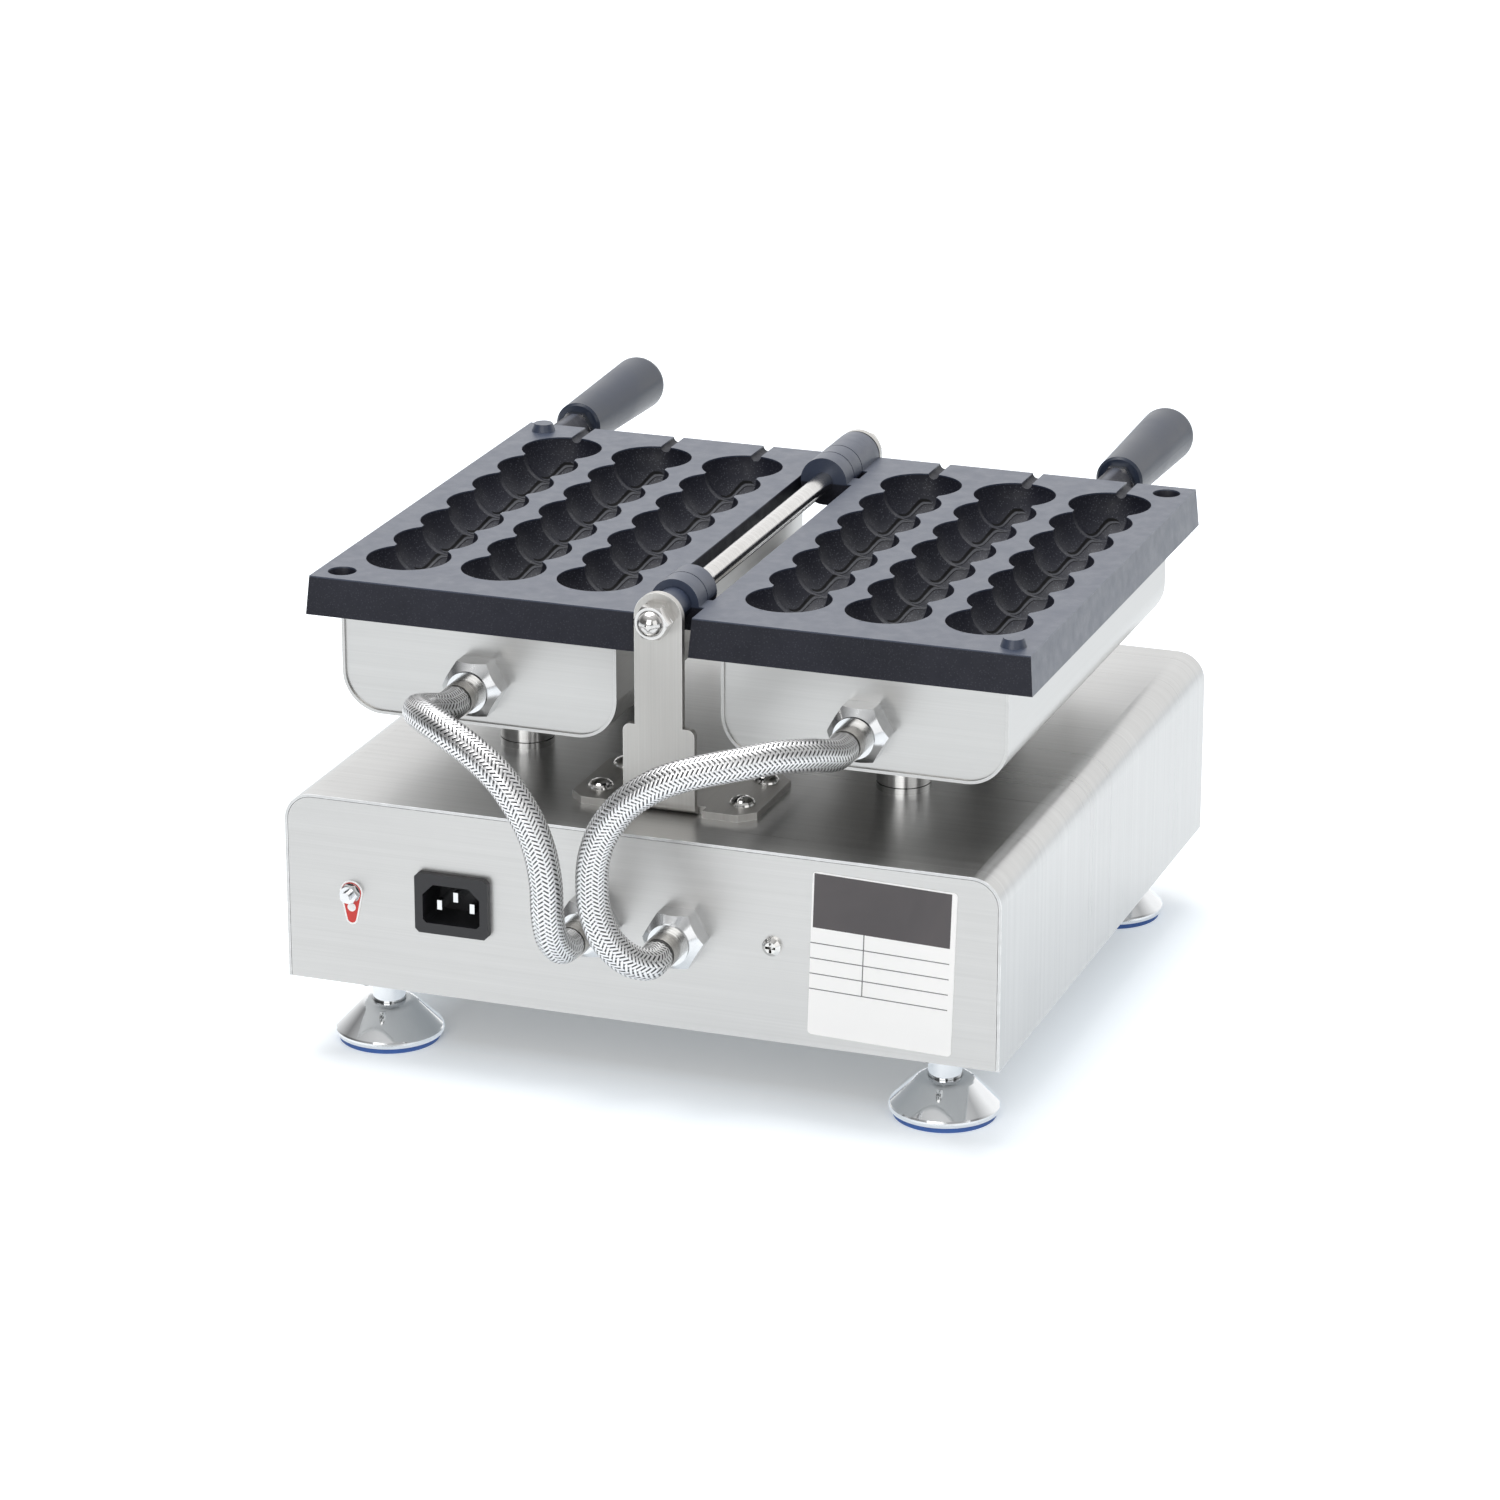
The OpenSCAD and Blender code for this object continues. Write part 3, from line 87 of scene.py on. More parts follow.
# %% [markdown]
# ## The braided hoses
# Each hose is a tube sheathed in woven steel wire. Sixteen flat strands wind round it one way and
# sixteen the other way, each over two and under two, so the strands on top stand in slanting
# columns along the hose. It could be a smooth tube with a picture of a braid, but the strands
# catch the light and leave small dark holes between them.
# So the tube's skin is raised and lowered strand by strand, and a value on each point
# says which strand lies on top and where the holes are.
#
# A hose joins the base to a half that turns. Here each hose is one fixed mesh, lying as it does
# with the halves laid open; it is not tied to the base or to a pan, and it doesn't bend.

# %% Routes of the hoses, in metres
HOSE_DIAMETER = 0.0128
RIGHT_ROUTE = [
    (0.081, 0.15875, 0.153), (0.081, 0.1715, 0.154), (0.084, 0.1825, 0.157),
    (0.082, 0.1935, 0.160), (0.074, 0.2035, 0.161), (0.062, 0.2115, 0.159),
    (0.050, 0.2155, 0.154), (0.039, 0.2185, 0.147), (0.031, 0.2195, 0.138),
    (0.025, 0.2195, 0.128), (0.021, 0.2195, 0.117), (0.019, 0.2195, 0.105),
    (0.019, 0.2185, 0.093), (0.019, 0.2145, 0.082), (0.018, 0.2075, 0.075),
    (0.0185, 0.1975, 0.073),
]
LEFT_ROUTE = [
    (-0.081, 0.15875, 0.153), (-0.081, 0.1715, 0.154), (-0.076, 0.1855, 0.158),
    (-0.067, 0.1975, 0.160), (-0.056, 0.2065, 0.159), (-0.044, 0.2125, 0.157),
    (-0.033, 0.2165, 0.154), (-0.023, 0.2185, 0.149), (-0.013, 0.2195, 0.141),
    (-0.005, 0.2195, 0.130), (-0.001, 0.2195, 0.119), (0.0, 0.2195, 0.108),
    (-0.001, 0.2195, 0.097), (-0.005, 0.2185, 0.086), (-0.012, 0.2145, 0.077),
    (-0.018, 0.2075, 0.073), (-0.0185, 0.1975, 0.073),
]


def smooth_route(points, steps):
    """Points on the same smooth curve that the solid hose follows."""
    points = np.array(points)
    curve = []
    last = len(points) - 1
    for i in range(last):
        a, b, c, d = points[max(i - 1, 0)], points[i], points[i + 1], points[min(i + 2, last)]
        for k in range(steps):
            t = k / steps
            curve.append((2 * b + (c - a) * t + (2 * a - 5 * b + 4 * c - d) * t ** 2
                          + (3 * b - a - 3 * c + d) * t ** 3) / 2)
    curve.append(points[last])
    return np.array(curve)


def even_route(points, spacing):
    """The same curve with its points at equal distances, and its whole length."""
    curve = smooth_route(points, steps=60)
    reach = np.concatenate([[0], np.cumsum(np.linalg.norm(np.diff(curve, axis=0), axis=1))])
    count = int(round(reach[-1] / spacing))
    at = np.linspace(0, reach[-1], count + 1)
    return np.stack([np.interp(at, reach, curve[:, k]) for k in range(3)], axis=1), at


for name, route in (("right", RIGHT_ROUTE), ("left", LEFT_ROUTE)):
    print(name, "hose is", round(even_route(route, 0.001)[1][-1], 4), "m long")

# %% Weave the braid
STRANDS = 16                         # strands that wind one way
STRAND_ADVANCE = 0.0018              # length of hose in which a strand moves on by one place
STRAND_RISE = 0.00014                # how far a strand rises where it goes over the others
OVER_SHARE, CROWN_SHARE = 0.5, 0.9   # what lying on top and the round back add to the height
MID_HEIGHT = 1.1                     # the height at which the skin has the hose's own radius
GAP_FROM, GAP_SOFT = 0.66, 0.25      # how far across two strands a gap opens, and how softly
GAP_DEPTH = 0.00015
SIDES = 144
RING_SPACING = 0.0003
# The end rings get the gaps' painted shade, as a shadow under each ferrule's lip
END_RINGS = 5                        # dark rings where the braid goes into a ferrule


def braid_height(a, b):
    """Height of the braid, 1 where strand a lies on top, and how open the gap is."""
    i, j = np.floor(a), np.floor(b)
    across_a, across_b = 2 * (a - i) - 1, 2 * (b - j) - 1
    over_a = np.cos(math.pi / 2 * (b + i - 1))
    over_b = np.cos(math.pi / 2 * (a + j - 3))
    top_a = OVER_SHARE * over_a + CROWN_SHARE * (1 - np.abs(across_a) ** 4)
    top_b = OVER_SHARE * over_b + CROWN_SHARE * (1 - np.abs(across_b) ** 4)
    gap = np.clip((np.minimum(np.abs(across_a), np.abs(across_b)) - GAP_FROM) / GAP_SOFT, 0, 1)
    return np.maximum(top_a, top_b), (top_a > top_b).astype(float), gap


def woven_hose(name, route):
    """A closed tube whose skin is the braid."""
    centre, reach = even_route(route, RING_SPACING)
    ahead = np.gradient(centre, axis=0)
    ahead[0], ahead[-1] = (0, 1, 0), (0, -1, 0)
    ahead /= np.linalg.norm(ahead, axis=1)[:, None]
    side = np.zeros_like(centre)
    side[0] = (1, 0, 0)
    for k in range(1, len(centre)):
        side[k] = side[k - 1] - (side[k - 1] @ ahead[k]) * ahead[k]
        side[k] /= np.linalg.norm(side[k])
    up = np.cross(ahead, side)

    turn = np.arange(SIDES) / SIDES
    a = STRANDS * turn[None, :] + reach[:, None] / STRAND_ADVANCE
    b = STRANDS * turn[None, :] - reach[:, None] / STRAND_ADVANCE
    height, on_top, gap = braid_height(a, b)
    # The end rings are painted as gaps: a shadow under each ferrule's lip, and a little sunk
    gap[:END_RINGS] = gap[-END_RINGS:] = 1
    radius = HOSE_DIAMETER / 2 + STRAND_RISE * (height - MID_HEIGHT) - GAP_DEPTH * gap
    angle = 2 * math.pi * turn
    rings = (centre[:, None, :]
             + (radius * np.cos(angle))[:, :, None] * side[:, None, :]
             + (radius * np.sin(angle))[:, :, None] * up[:, None, :])

    rows = len(centre)
    places = np.arange(rows * SIDES).reshape(rows, SIDES)
    beside = np.roll(places, -1, axis=1)
    walls = np.stack([places[:-1], places[1:], beside[1:], beside[:-1]], axis=-1).reshape(-1, 4)
    faces = walls[:, ::-1].tolist() + [places[0][::-1].tolist(), places[-1].tolist()]
    mesh = bpy.data.meshes.new(name)
    mesh.from_pydata(rings.reshape(-1, 3).tolist(), [], faces)

    for label, values in (("strand_on_top", on_top), ("gap", gap)):
        held = mesh.attributes.new(label, "FLOAT", "POINT")
        held.data.foreach_set("value", values.ravel().astype(np.float32))
    across = np.zeros((len(mesh.loops), 2), np.float32)
    a_walls = np.stack([a[:-1], a[1:], a[1:] + STRANDS / SIDES, a[:-1] + STRANDS / SIDES], axis=-1)
    b_walls = np.stack([b[:-1], b[1:], b[1:] + STRANDS / SIDES, b[:-1] + STRANDS / SIDES], axis=-1)
    flat = np.stack([a_walls.reshape(-1, 4)[:, ::-1], b_walls.reshape(-1, 4)[:, ::-1]], axis=-1)
    across[:flat.shape[0] * 4] = flat.reshape(-1, 2)
    mesh.uv_layers.new(name="strands").data.foreach_set("uv", across.ravel())
    mesh.validate()
    mesh.polygons.foreach_set("use_smooth", [True] * len(mesh.polygons))
    hose = bpy.data.objects.new(name, mesh)
    bpy.context.collection.objects.link(hose)
    return hose, centre, float(reach[-1])


hoses = {}
for side_name, route in (("right", RIGHT_ROUTE), ("left", LEFT_ROUTE)):
    hose, centre, length = woven_hose(side_name + "_braided_hose", route)
    # Here both hoses go over the top.
    if side_name == "right":
        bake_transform(hose)
    else:
        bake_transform(hose)
    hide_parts(side_name + "_hose")
    hoses[side_name] = hose
    print(hose.name, "is", round(length * 1000, 1), "mm long, faces:", len(hose.data.polygons))

# %% [markdown]
# ## Shader nodes, put together by a helper
# A material is a small tree of nodes. Adding each node and link by hand in the editor is clear but
# long. One helper adds a node, sets it and links its inputs, and another makes a group, so each
# finish below can be read from its own few lines.

# %% Helpers for shader nodes
def feed(tree, socket, value):
    """Links another node's output to a socket, or sets the socket's own value."""
    if isinstance(value, bpy.types.NodeSocket):
        tree.links.new(value, socket)
    else:
        socket.default_value = value


def add_node(tree, kind, inputs=None, **settings):
    """Adds a node. Each input is a value or another node's output socket."""
    made = tree.nodes.new(kind)
    for setting, value in settings.items():
        setattr(made, setting, value)
    for socket, value in (inputs or {}).items():
        feed(tree, made.inputs[socket], value)
    return made


def calc(tree, operation, first, second=0.0):
    """The result of one Math node."""
    return add_node(tree, "ShaderNodeMath", {0: first, 1: second}, operation=operation).outputs[0]


def times(tree, first, second):
    """One value times another."""
    return calc(tree, "MULTIPLY", first, second)


def blend_colours(tree, mask, first, second):
    """The first colour where the mask is 0 and the second where it is 1."""
    made = add_node(tree, "ShaderNodeMix", {"Factor": mask}, data_type="RGBA")
    for socket, colour in zip((made.inputs[6], made.inputs[7]), (first, second)):
        feed(tree, socket, (*colour, 1) if isinstance(colour, tuple) else colour)
    return made.outputs[2]


def to_range(tree, value, low, high, start=0.0, end=1.0):
    """The value, spread from start..end to low..high."""
    spread = {0: value, 1: start, 2: end, 3: low, 4: high}
    return add_node(tree, "ShaderNodeMapRange", spread).outputs[0]


def noise(tree, vector, scale, detail, **more):
    """The value of one Noise Texture node."""
    inputs = {"Vector": vector, "Scale": scale, "Detail": detail, **more}
    return add_node(tree, "ShaderNodeTexNoise", inputs).outputs[0]


def axes(tree, vector):
    """The x, y and z of a vector."""
    return add_node(tree, "ShaderNodeSeparateXYZ", {0: vector}).outputs


def dot(tree, first, second):
    """How far the first vector reaches along the second."""
    made = add_node(tree, "ShaderNodeVectorMath", {0: first, 1: second}, operation="DOT_PRODUCT")
    return made.outputs["Value"]


def new_group(name, inputs, outputs):
    """An empty shader group with named sockets."""
    tree = bpy.data.node_groups.new(name, "ShaderNodeTree")
    for label, kind, value in inputs:
        socket = tree.interface.new_socket(label, in_out="INPUT", socket_type=kind)
        if value is not None:
            socket.default_value = value
    for label in outputs:
        tree.interface.new_socket(label, in_out="OUTPUT", socket_type="NodeSocketFloat")
    return tree, tree.nodes.new("NodeGroupInput").outputs, tree.nodes.new("NodeGroupOutput").inputs


def use_group(tree, group, inputs):
    """Places a group in a tree and returns its outputs."""
    made = tree.nodes.new("ShaderNodeGroup")
    made.node_tree = group
    for socket, value in inputs.items():
        feed(tree, made.inputs[socket], value)
    return made.outputs


def new_material(name, metallic, roughness, **constants):
    """A material with its Principled shader, and its Object coordinates."""
    made = bpy.data.materials.new(name)
    made.use_nodes = True
    tree = made.node_tree
    shader = tree.nodes["Principled BSDF"]
    shader.inputs["Metallic"].default_value = metallic
    shader.inputs["Roughness"].default_value = roughness
    for socket, value in constants.items():
        shader.inputs[socket.replace("_", " ")].default_value = value
    place = add_node(tree, "ShaderNodeTexCoord").outputs["Object"]
    return made, tree, shader, place


def bump(tree, shader, height, strength, distance):
    """Feeds a height to the shader's normal."""
    settings = {"Height": height, "Strength": strength, "Distance": distance}
    made = add_node(tree, "ShaderNodeBump", settings)
    tree.links.new(made.outputs[0], shader.inputs["Normal"])


print("helpers are ready")

# %% [markdown]
# ## Effects that several finishes share
# Brushed sheet has long fine scratches in one direction. They could be an image, but a noise that
# is stretched along one axis gives them at any size. Handling leaves soft clouds in the gloss.
# Edges wear brighter than flats, and the Bevel node finds them: its softened normal differs
# from the true one only near an edge. On some sheets that band is also a painted highlight on the
# rim. Narrow places such as a screw's cross get painted shade where the Ambient Occlusion node
# finds them closed in. Castings have a fine grain with small pits and specks.

# %% Group: brushed lines
VECTOR = ("Vector", "NodeSocketVector", None)


def make_brushed_lines():
    tree, given, out = new_group(
        "brushed_lines", [VECTOR, ("Stretch", "NodeSocketVector", (20, 2000, 20))],
        ["Lines", "Height"])
    stretch = {"Vector": given["Vector"], "Scale": given["Stretch"]}
    stretched = add_node(tree, "ShaderNodeMapping", stretch).outputs[0]
    fine = noise(tree, stretched, 1.0, 4.0, Roughness=0.65)
    broad = noise(tree, stretched, 0.24, 2.0, Roughness=0.5)
    lines = calc(tree, "ADD", times(tree, fine, 0.6), times(tree, broad, 0.4))
    tree.links.new(to_range(tree, lines, 0, 1, 0.32, 0.68), out["Lines"])
    tree.links.new(lines, out["Height"])
    return tree


brushed_lines = make_brushed_lines()
print(brushed_lines.name, "has", len(brushed_lines.nodes), "nodes")

# %% Group: smudges
def make_smudges():
    tree, given, out = new_group(
        "smudges", [VECTOR, ("Size", "NodeSocketFloat", 12.0)], ["Cloud"])
    cloud = noise(tree, given["Vector"], given["Size"], 3.0, Roughness=0.6, Distortion=0.6)
    tree.links.new(to_range(tree, cloud, 0, 1, 0.35, 0.65), out["Cloud"])
    return tree


smudges = make_smudges()
print(smudges.name, "has", len(smudges.nodes), "nodes")

# %% Group: worn edges and painted rim highlights
def make_edge_wear_and_highlight():
    tree, given, out = new_group(
        "edge_wear_and_highlight", [VECTOR, ("Width", "NodeSocketFloat", 0.0006)], ["Edge"])
    soft = add_node(tree, "ShaderNodeBevel", {"Radius": given["Width"]}, samples=4).outputs[0]
    true = add_node(tree, "ShaderNodeNewGeometry").outputs["Normal"]
    edge = to_range(tree, dot(tree, soft, true), 1, 0, 0.75, 0.98)
    patchy = noise(tree, given["Vector"], 260.0, 3.0)
    worn = times(tree, edge, to_range(tree, patchy, 0.35, 1, 0.4, 0.6))
    tree.links.new(worn, out["Edge"])
    return tree


edge_wear_and_highlight = make_edge_wear_and_highlight()
print(edge_wear_and_highlight.name, "has", len(edge_wear_and_highlight.nodes), "nodes")

# %% Group: casting grain
def make_casting_grain():
    tree, given, out = new_group(
        "casting_grain", [VECTOR, ("Size", "NodeSocketFloat", 1500.0)],
        ["Grain", "Specks", "Height"])
    fine = noise(tree, given["Vector"], given["Size"], 3.0, Roughness=0.6)
    coarse = noise(tree, given["Vector"], times(tree, given["Size"], 0.12), 4.0)
    pits = add_node(tree, "ShaderNodeTexVoronoi",
                    {"Vector": given["Vector"], "Scale": times(tree, given["Size"], 0.7)})
    tree.links.new(coarse, out["Grain"])
    tree.links.new(to_range(tree, pits.outputs["Distance"], 1, 0, 0.12, 0.34), out["Specks"])
    height = calc(tree, "ADD", fine, times(tree, coarse, 0.6))
    tree.links.new(height, out["Height"])
    return tree


casting_grain = make_casting_grain()
print(casting_grain.name, "has", len(casting_grain.nodes), "nodes")

# %% Group: painted shade in recesses
def make_recess_shade():
    tree, given, out = new_group("recess_shade", [("Reach", "NodeSocketFloat", 0.0015)], ["Open"])
    sky = add_node(tree, "ShaderNodeAmbientOcclusion", {"Distance": given["Reach"]},
                   samples=6, only_local=True)
    tree.links.new(to_range(tree, sky.outputs["AO"], 0, 1, 0.3, 0.75), out["Open"])
    return tree


recess_shade = make_recess_shade()
print(recess_shade.name, "has", len(recess_shade.nodes), "nodes")

# %% [markdown]
# ## Brushed and polished metals
# The cover, the panels, the pans and the brackets are sheet steel, brushed before it was bent, so
# the lines run over each bend. In each stretch, the high number is on the axis that they cross.
# Shafts, nuts and ferrules were turned, and their lines run round them. Chrome has no lines.
# Painted shade is nearly black in a screw's cross, but along the seams of a sheet it is only grey.

# %% Metals
# Colours of painted shade: deep in a screw's cross, pale along a sheet's seams
DEEP_RECESS_SHADE, SEAM_RECESS_SHADE = (0.045, 0.044, 0.042), (0.34, 0.335, 0.325)
WORN_AND_LIT_STEEL = (0.95, 0.95, 0.94)


def brushed_metal(name, dark, light, stretch, rough, depth,
                  edge_light=0.35, edge_width=0.0005, recess_shade_colour=DEEP_RECESS_SHADE):
    """Sheet or turned metal: its lines change the colour, the gloss and the height a little."""
    made, tree, shader, place = new_material(name, 1.0, rough[0])
    lines = use_group(tree, brushed_lines, {"Vector": place, "Stretch": stretch})
    cloud = use_group(tree, smudges, {"Vector": place, "Size": 9.0})
    edge = use_group(tree, edge_wear_and_highlight, {"Vector": place, "Width": edge_width})
    mixed = calc(tree, "ADD",
                 times(tree, lines["Lines"], 0.75), times(tree, cloud["Cloud"], 0.25))
    colour = blend_colours(tree, mixed, dark, light)
    # Edges lighter from wear; on the cover and brackets this band is also a painted rim highlight
    colour = blend_colours(tree, times(tree, edge["Edge"], edge_light), colour, WORN_AND_LIT_STEEL)
    # Painted shade where the Ambient Occlusion node finds a recess or seam
    colour = blend_colours(tree, use_group(tree, recess_shade, {})["Open"], recess_shade_colour, colour)
    tree.links.new(colour, shader.inputs["Base Color"])
    tree.links.new(to_range(tree, mixed, rough[0], rough[1]), shader.inputs["Roughness"])
    bump(tree, shader, lines["Height"], depth, 0.00006)
    return made


# Of each: dark and light colour, stretch of the lines, least and most roughness, the lines' depth
METALS = {
    "cover_steel": ((0.46, 0.46, 0.455), (0.61, 0.61, 0.605), (6, 1500, 6), (0.25, 0.37), 0.35),
    "panel_steel": ((0.49, 0.485, 0.475), (0.57, 0.565, 0.555), (12, 12, 1400), (0.30, 0.42), 0.2),
    "pan_steel": ((0.475, 0.472, 0.462), (0.56, 0.557, 0.547), (12, 12, 1500), (0.26, 0.38), 0.15),
    "bracket_steel": ((0.45, 0.44, 0.42), (0.56, 0.55, 0.53), (1500, 14, 14), (0.36, 0.48), 0.25),
    "turned_steel": ((0.50, 0.49, 0.475), (0.72, 0.71, 0.70), (20, 1600, 20), (0.12, 0.24), 0.15),
    "post_steel": ((0.56, 0.555, 0.55), (0.74, 0.74, 0.73), (20, 20, 1600), (0.08, 0.2), 0.12),
    "crimped_steel": ((0.30, 0.29, 0.27), (0.52, 0.51, 0.49), (30, 1200, 30), (0.18, 0.30), 0.2),
    "nickel_plate": ((0.60, 0.61, 0.62), (0.74, 0.75, 0.76), (250, 250, 250), (0.12, 0.22), 0.05),
    "bolt_steel": ((0.58, 0.57, 0.55), (0.78, 0.775, 0.76), (160, 160, 160), (0.08, 0.16), 0.04),
    "chrome": ((0.66, 0.675, 0.69), (0.76, 0.77, 0.78), (60, 60, 60), (0.07, 0.13), 0.01),
    "brass": ((0.55, 0.41, 0.18), (0.72, 0.57, 0.28), (60, 1200, 60), (0.16, 0.3), 0.1),
}
# The cover's and brackets' edges get a wider, brighter band: wear, and a painted highlight on
# their rims. A sheet's seams get only light painted shade.
SHEET_EDGES = {
    "cover_steel": {"edge_light": 0.8, "edge_width": 0.0010, "recess_shade_colour": SEAM_RECESS_SHADE},
    "panel_steel": {"recess_shade_colour": SEAM_RECESS_SHADE},
    "pan_steel": {"recess_shade_colour": SEAM_RECESS_SHADE},
    "bracket_steel": {"edge_light": 0.7, "edge_width": 0.0007},
}
finishes = {}
for name, looks in METALS.items():
    finishes[name] = brushed_metal(name, *looks, **SHEET_EDGES.get(name, {}))
print("metal finishes:", ", ".join(finishes))

# %% [markdown]
# ## The coated castings
# The mould plates are cast aluminium under a dark non-stick coat. The coat is matte with a bluish
# tint, and the casting's grain shows through it. In the moulds, which were sand-blasted, fine light
# specks catch the lamps. The faces that meet when the plates close and the outer sides were milled;
# they get a glossy coat and a paler bluish colour, which paints the sheen they reflect. Each mould
# has one curved line in its floor, which leaves a thin rib on the waffle. It could be cut into the
# mesh, but it is finer than the solid's facets, so a curve on the plate's own coordinates draws it:
# a groove with painted shade, its bank with painted light and a thin painted shadow beside it.

# %% Group: the curved line in every mould
COLUMN_FIRST, COLUMN_PITCH = 0.0400, 0.0413     # places of the columns of moulds, along x
BALL_MIDDLE, BALL_PITCH = 0.0233, 0.0278        # places of the moulds in a column, along y
LINE_START = (0.0100, -0.0006, 0)               # where the line starts, from a mould's centre
LINE_ALONG, LINE_ACROSS = (-0.596, -0.803, 0), (-0.803, 0.596, 0)
# Millimetres along and across the line's own direction, in a box of LINE_REACH by twice LINE_ASIDE
LINE_SHAPE = [(0, 0), (2.2, 0.25), (4.5, -0.2), (7.1, -1.2), (10.4, -2.3),
              (12.9, -2.5), (14.6, -1.5), (15.9, 0), (16.4, 1.4)]
LINE_REACH, LINE_ASIDE = 17, 4
LINE_FADES = 0.0160, 0.0164                     # where the line's far end fades out
# The middle of each band beside the line, and half its width
# The groove gets painted shade, the bank painted light and the foot a painted shadow
GROOVE, LIT_BANK, FOOT_SHADOW = (0, 0.00055), (0.00105, 0.0004), (0.0017, 0.0002)
FOOT_SHADOW_SHARE = 0.7                                # how dark the foot is beside the groove
FIELD_X = 0.0195, 0.0200                        # the field begins here, from the shaft's axis
FIELD_Y = 0.1010, 0.1015                        # and ends here, from the moulds' middle


def make_mould_line():
    """A groove with painted shade, a bank with painted light and a foot with a painted shadow along
    LINE_SHAPE in each mould, and the field of all moulds.
    """
    tree, given, out = new_group("mould_line", [VECTOR], ["Groove", "LitBank", "Field"])
    x, y, _ = axes(tree, given["Vector"])
    first = times(tree, calc(tree, "SIGN", x), COLUMN_FIRST)
    from_middle = calc(tree, "SUBTRACT", y, BALL_MIDDLE)

    def in_one_mould(value, pitch):
        wrap = {0: value, 1: pitch / 2, 2: -pitch / 2}
        return add_node(tree, "ShaderNodeMath", wrap, operation="WRAP").outputs[0]

    aside = in_one_mould(calc(tree, "SUBTRACT", x, first), COLUMN_PITCH)
    ahead = in_one_mould(from_middle, BALL_PITCH)
    spot = add_node(tree, "ShaderNodeCombineXYZ", {0: aside, 1: ahead}).outputs[0]
    from_start = {0: spot, 1: LINE_START}
    spot = add_node(tree, "ShaderNodeVectorMath", from_start, operation="SUBTRACT").outputs[0]
    along, across = dot(tree, spot, LINE_ALONG), dot(tree, spot, LINE_ACROSS)
    reached = to_range(tree, along, 0, 1, 0, LINE_REACH / 1000)
    shape = add_node(tree, "ShaderNodeFloatCurve", {"Value": reached})
    curve = shape.mapping.curves[0]
    for k, (reach, sideways) in enumerate(LINE_SHAPE):
        place = (reach / LINE_REACH, (sideways + LINE_ASIDE) / (2 * LINE_ASIDE))
        if k < 2:
            curve.points[k].location = place
        else:
            curve.points.new(*place)
    shape.mapping.update()
    swing = to_range(tree, shape.outputs[0], -LINE_ASIDE / 1000, LINE_ASIDE / 1000)
    beside = calc(tree, "SUBTRACT", across, swing)
    field = times(tree, to_range(tree, calc(tree, "ABSOLUTE", x), 0, 1, *FIELD_X),
                  to_range(tree, calc(tree, "ABSOLUTE", from_middle), 1, 0, *FIELD_Y))
    tree.links.new(field, out["Field"])
    inside = times(tree, to_range(tree, along, 0, 1, 0, 0.0003),
                   to_range(tree, along, 1, 0, *LINE_FADES))
    inside = times(tree, inside, field)

    def band(middle, half):
        away = calc(tree, "ABSOLUTE", calc(tree, "SUBTRACT", beside, middle))
        return times(tree, inside, to_range(tree, away, 1, 0, half * 0.7, half * 1.3))

    foot_shadow = times(tree, band(*FOOT_SHADOW), FOOT_SHADOW_SHARE)
    tree.links.new(calc(tree, "MAXIMUM", band(*GROOVE), foot_shadow), out["Groove"])
    tree.links.new(band(*LIT_BANK), out["LitBank"])
    return tree


mould_line = make_mould_line()
print(mould_line.name, "has", len(mould_line.nodes), "nodes")

# %% Coated casting
MILLED_FROM, MILLED_TO = 0.1920, 0.1926     # heights of the plates' milled faces, laid open
OUTER_SIDE = 0.1490                         # the milled outer sides begin here, along x


def coated_casting(name):
    """A dark coat with specks in the moulds, worn edges, milled faces with a painted sheen, and the
    curved lines.
    """
    made, tree, shader, place = new_material(name, 0.0, 0.5, IOR=1.36, Coat_Roughness=0.4)
    grain = use_group(tree, casting_grain, {"Vector": place, "Size": 1400.0})
    cloud = use_group(tree, smudges, {"Vector": place, "Size": 16.0})
    edge = use_group(tree, edge_wear_and_highlight, {"Vector": place, "Width": 0.0007})
    x, _, height = axes(tree, place)
    face = to_range(tree, height, 0, 1, MILLED_FROM, MILLED_TO)
    facing = axes(tree, add_node(tree, "ShaderNodeTexCoord").outputs["Normal"])[0]
    side = times(tree,
                 to_range(tree, calc(tree, "ABSOLUTE", x), 0, 1, OUTER_SIDE, OUTER_SIDE + 0.0005),
                 to_range(tree, calc(tree, "ABSOLUTE", facing), 0, 1, 0.6, 0.8))
    milled_and_sheen = calc(tree, "MAXIMUM", face, side)
    line = use_group(tree, mould_line, {"Vector": place})
    colour = blend_colours(tree, cloud["Cloud"], (0.008, 0.009, 0.016), (0.014, 0.015, 0.025))
    specks = times(tree, grain["Specks"], to_range(tree, line["Field"], 0.2, 0.7))
    colour = blend_colours(tree, specks, colour, (0.085, 0.090, 0.108))
    colour = blend_colours(tree, times(tree, edge["Edge"], 0.3), colour, (0.08, 0.085, 0.10))
    # Painted light on the line's bank, painted shade in its groove and a painted shadow at its foot
    colour = blend_colours(tree, times(tree, line["LitBank"], 0.8), colour, (0.075, 0.078, 0.090))
    colour = blend_colours(tree, line["Groove"], colour, (0.001, 0.001, 0.0015))
    # Painted sheen: the milled faces and outer sides get a paler bluish colour for what they
    # reflect
    colour = blend_colours(tree, times(tree, milled_and_sheen, 0.8), colour, (0.032, 0.047, 0.088))
    tree.links.new(colour, shader.inputs["Base Color"])
    grainy = to_range(tree, grain["Grain"], 0.40, 0.58, 0.3, 0.7)
    rough = calc(tree, "ADD", grainy, times(tree, line["Groove"], 0.4))
    tree.links.new(rough, shader.inputs["Roughness"])
    tree.links.new(times(tree, milled_and_sheen, 0.87), shader.inputs["Coat Weight"])
    bump(tree, shader, calc(tree, "SUBTRACT", grain["Height"], line["Groove"]), 0.5, 0.00016)
    return made


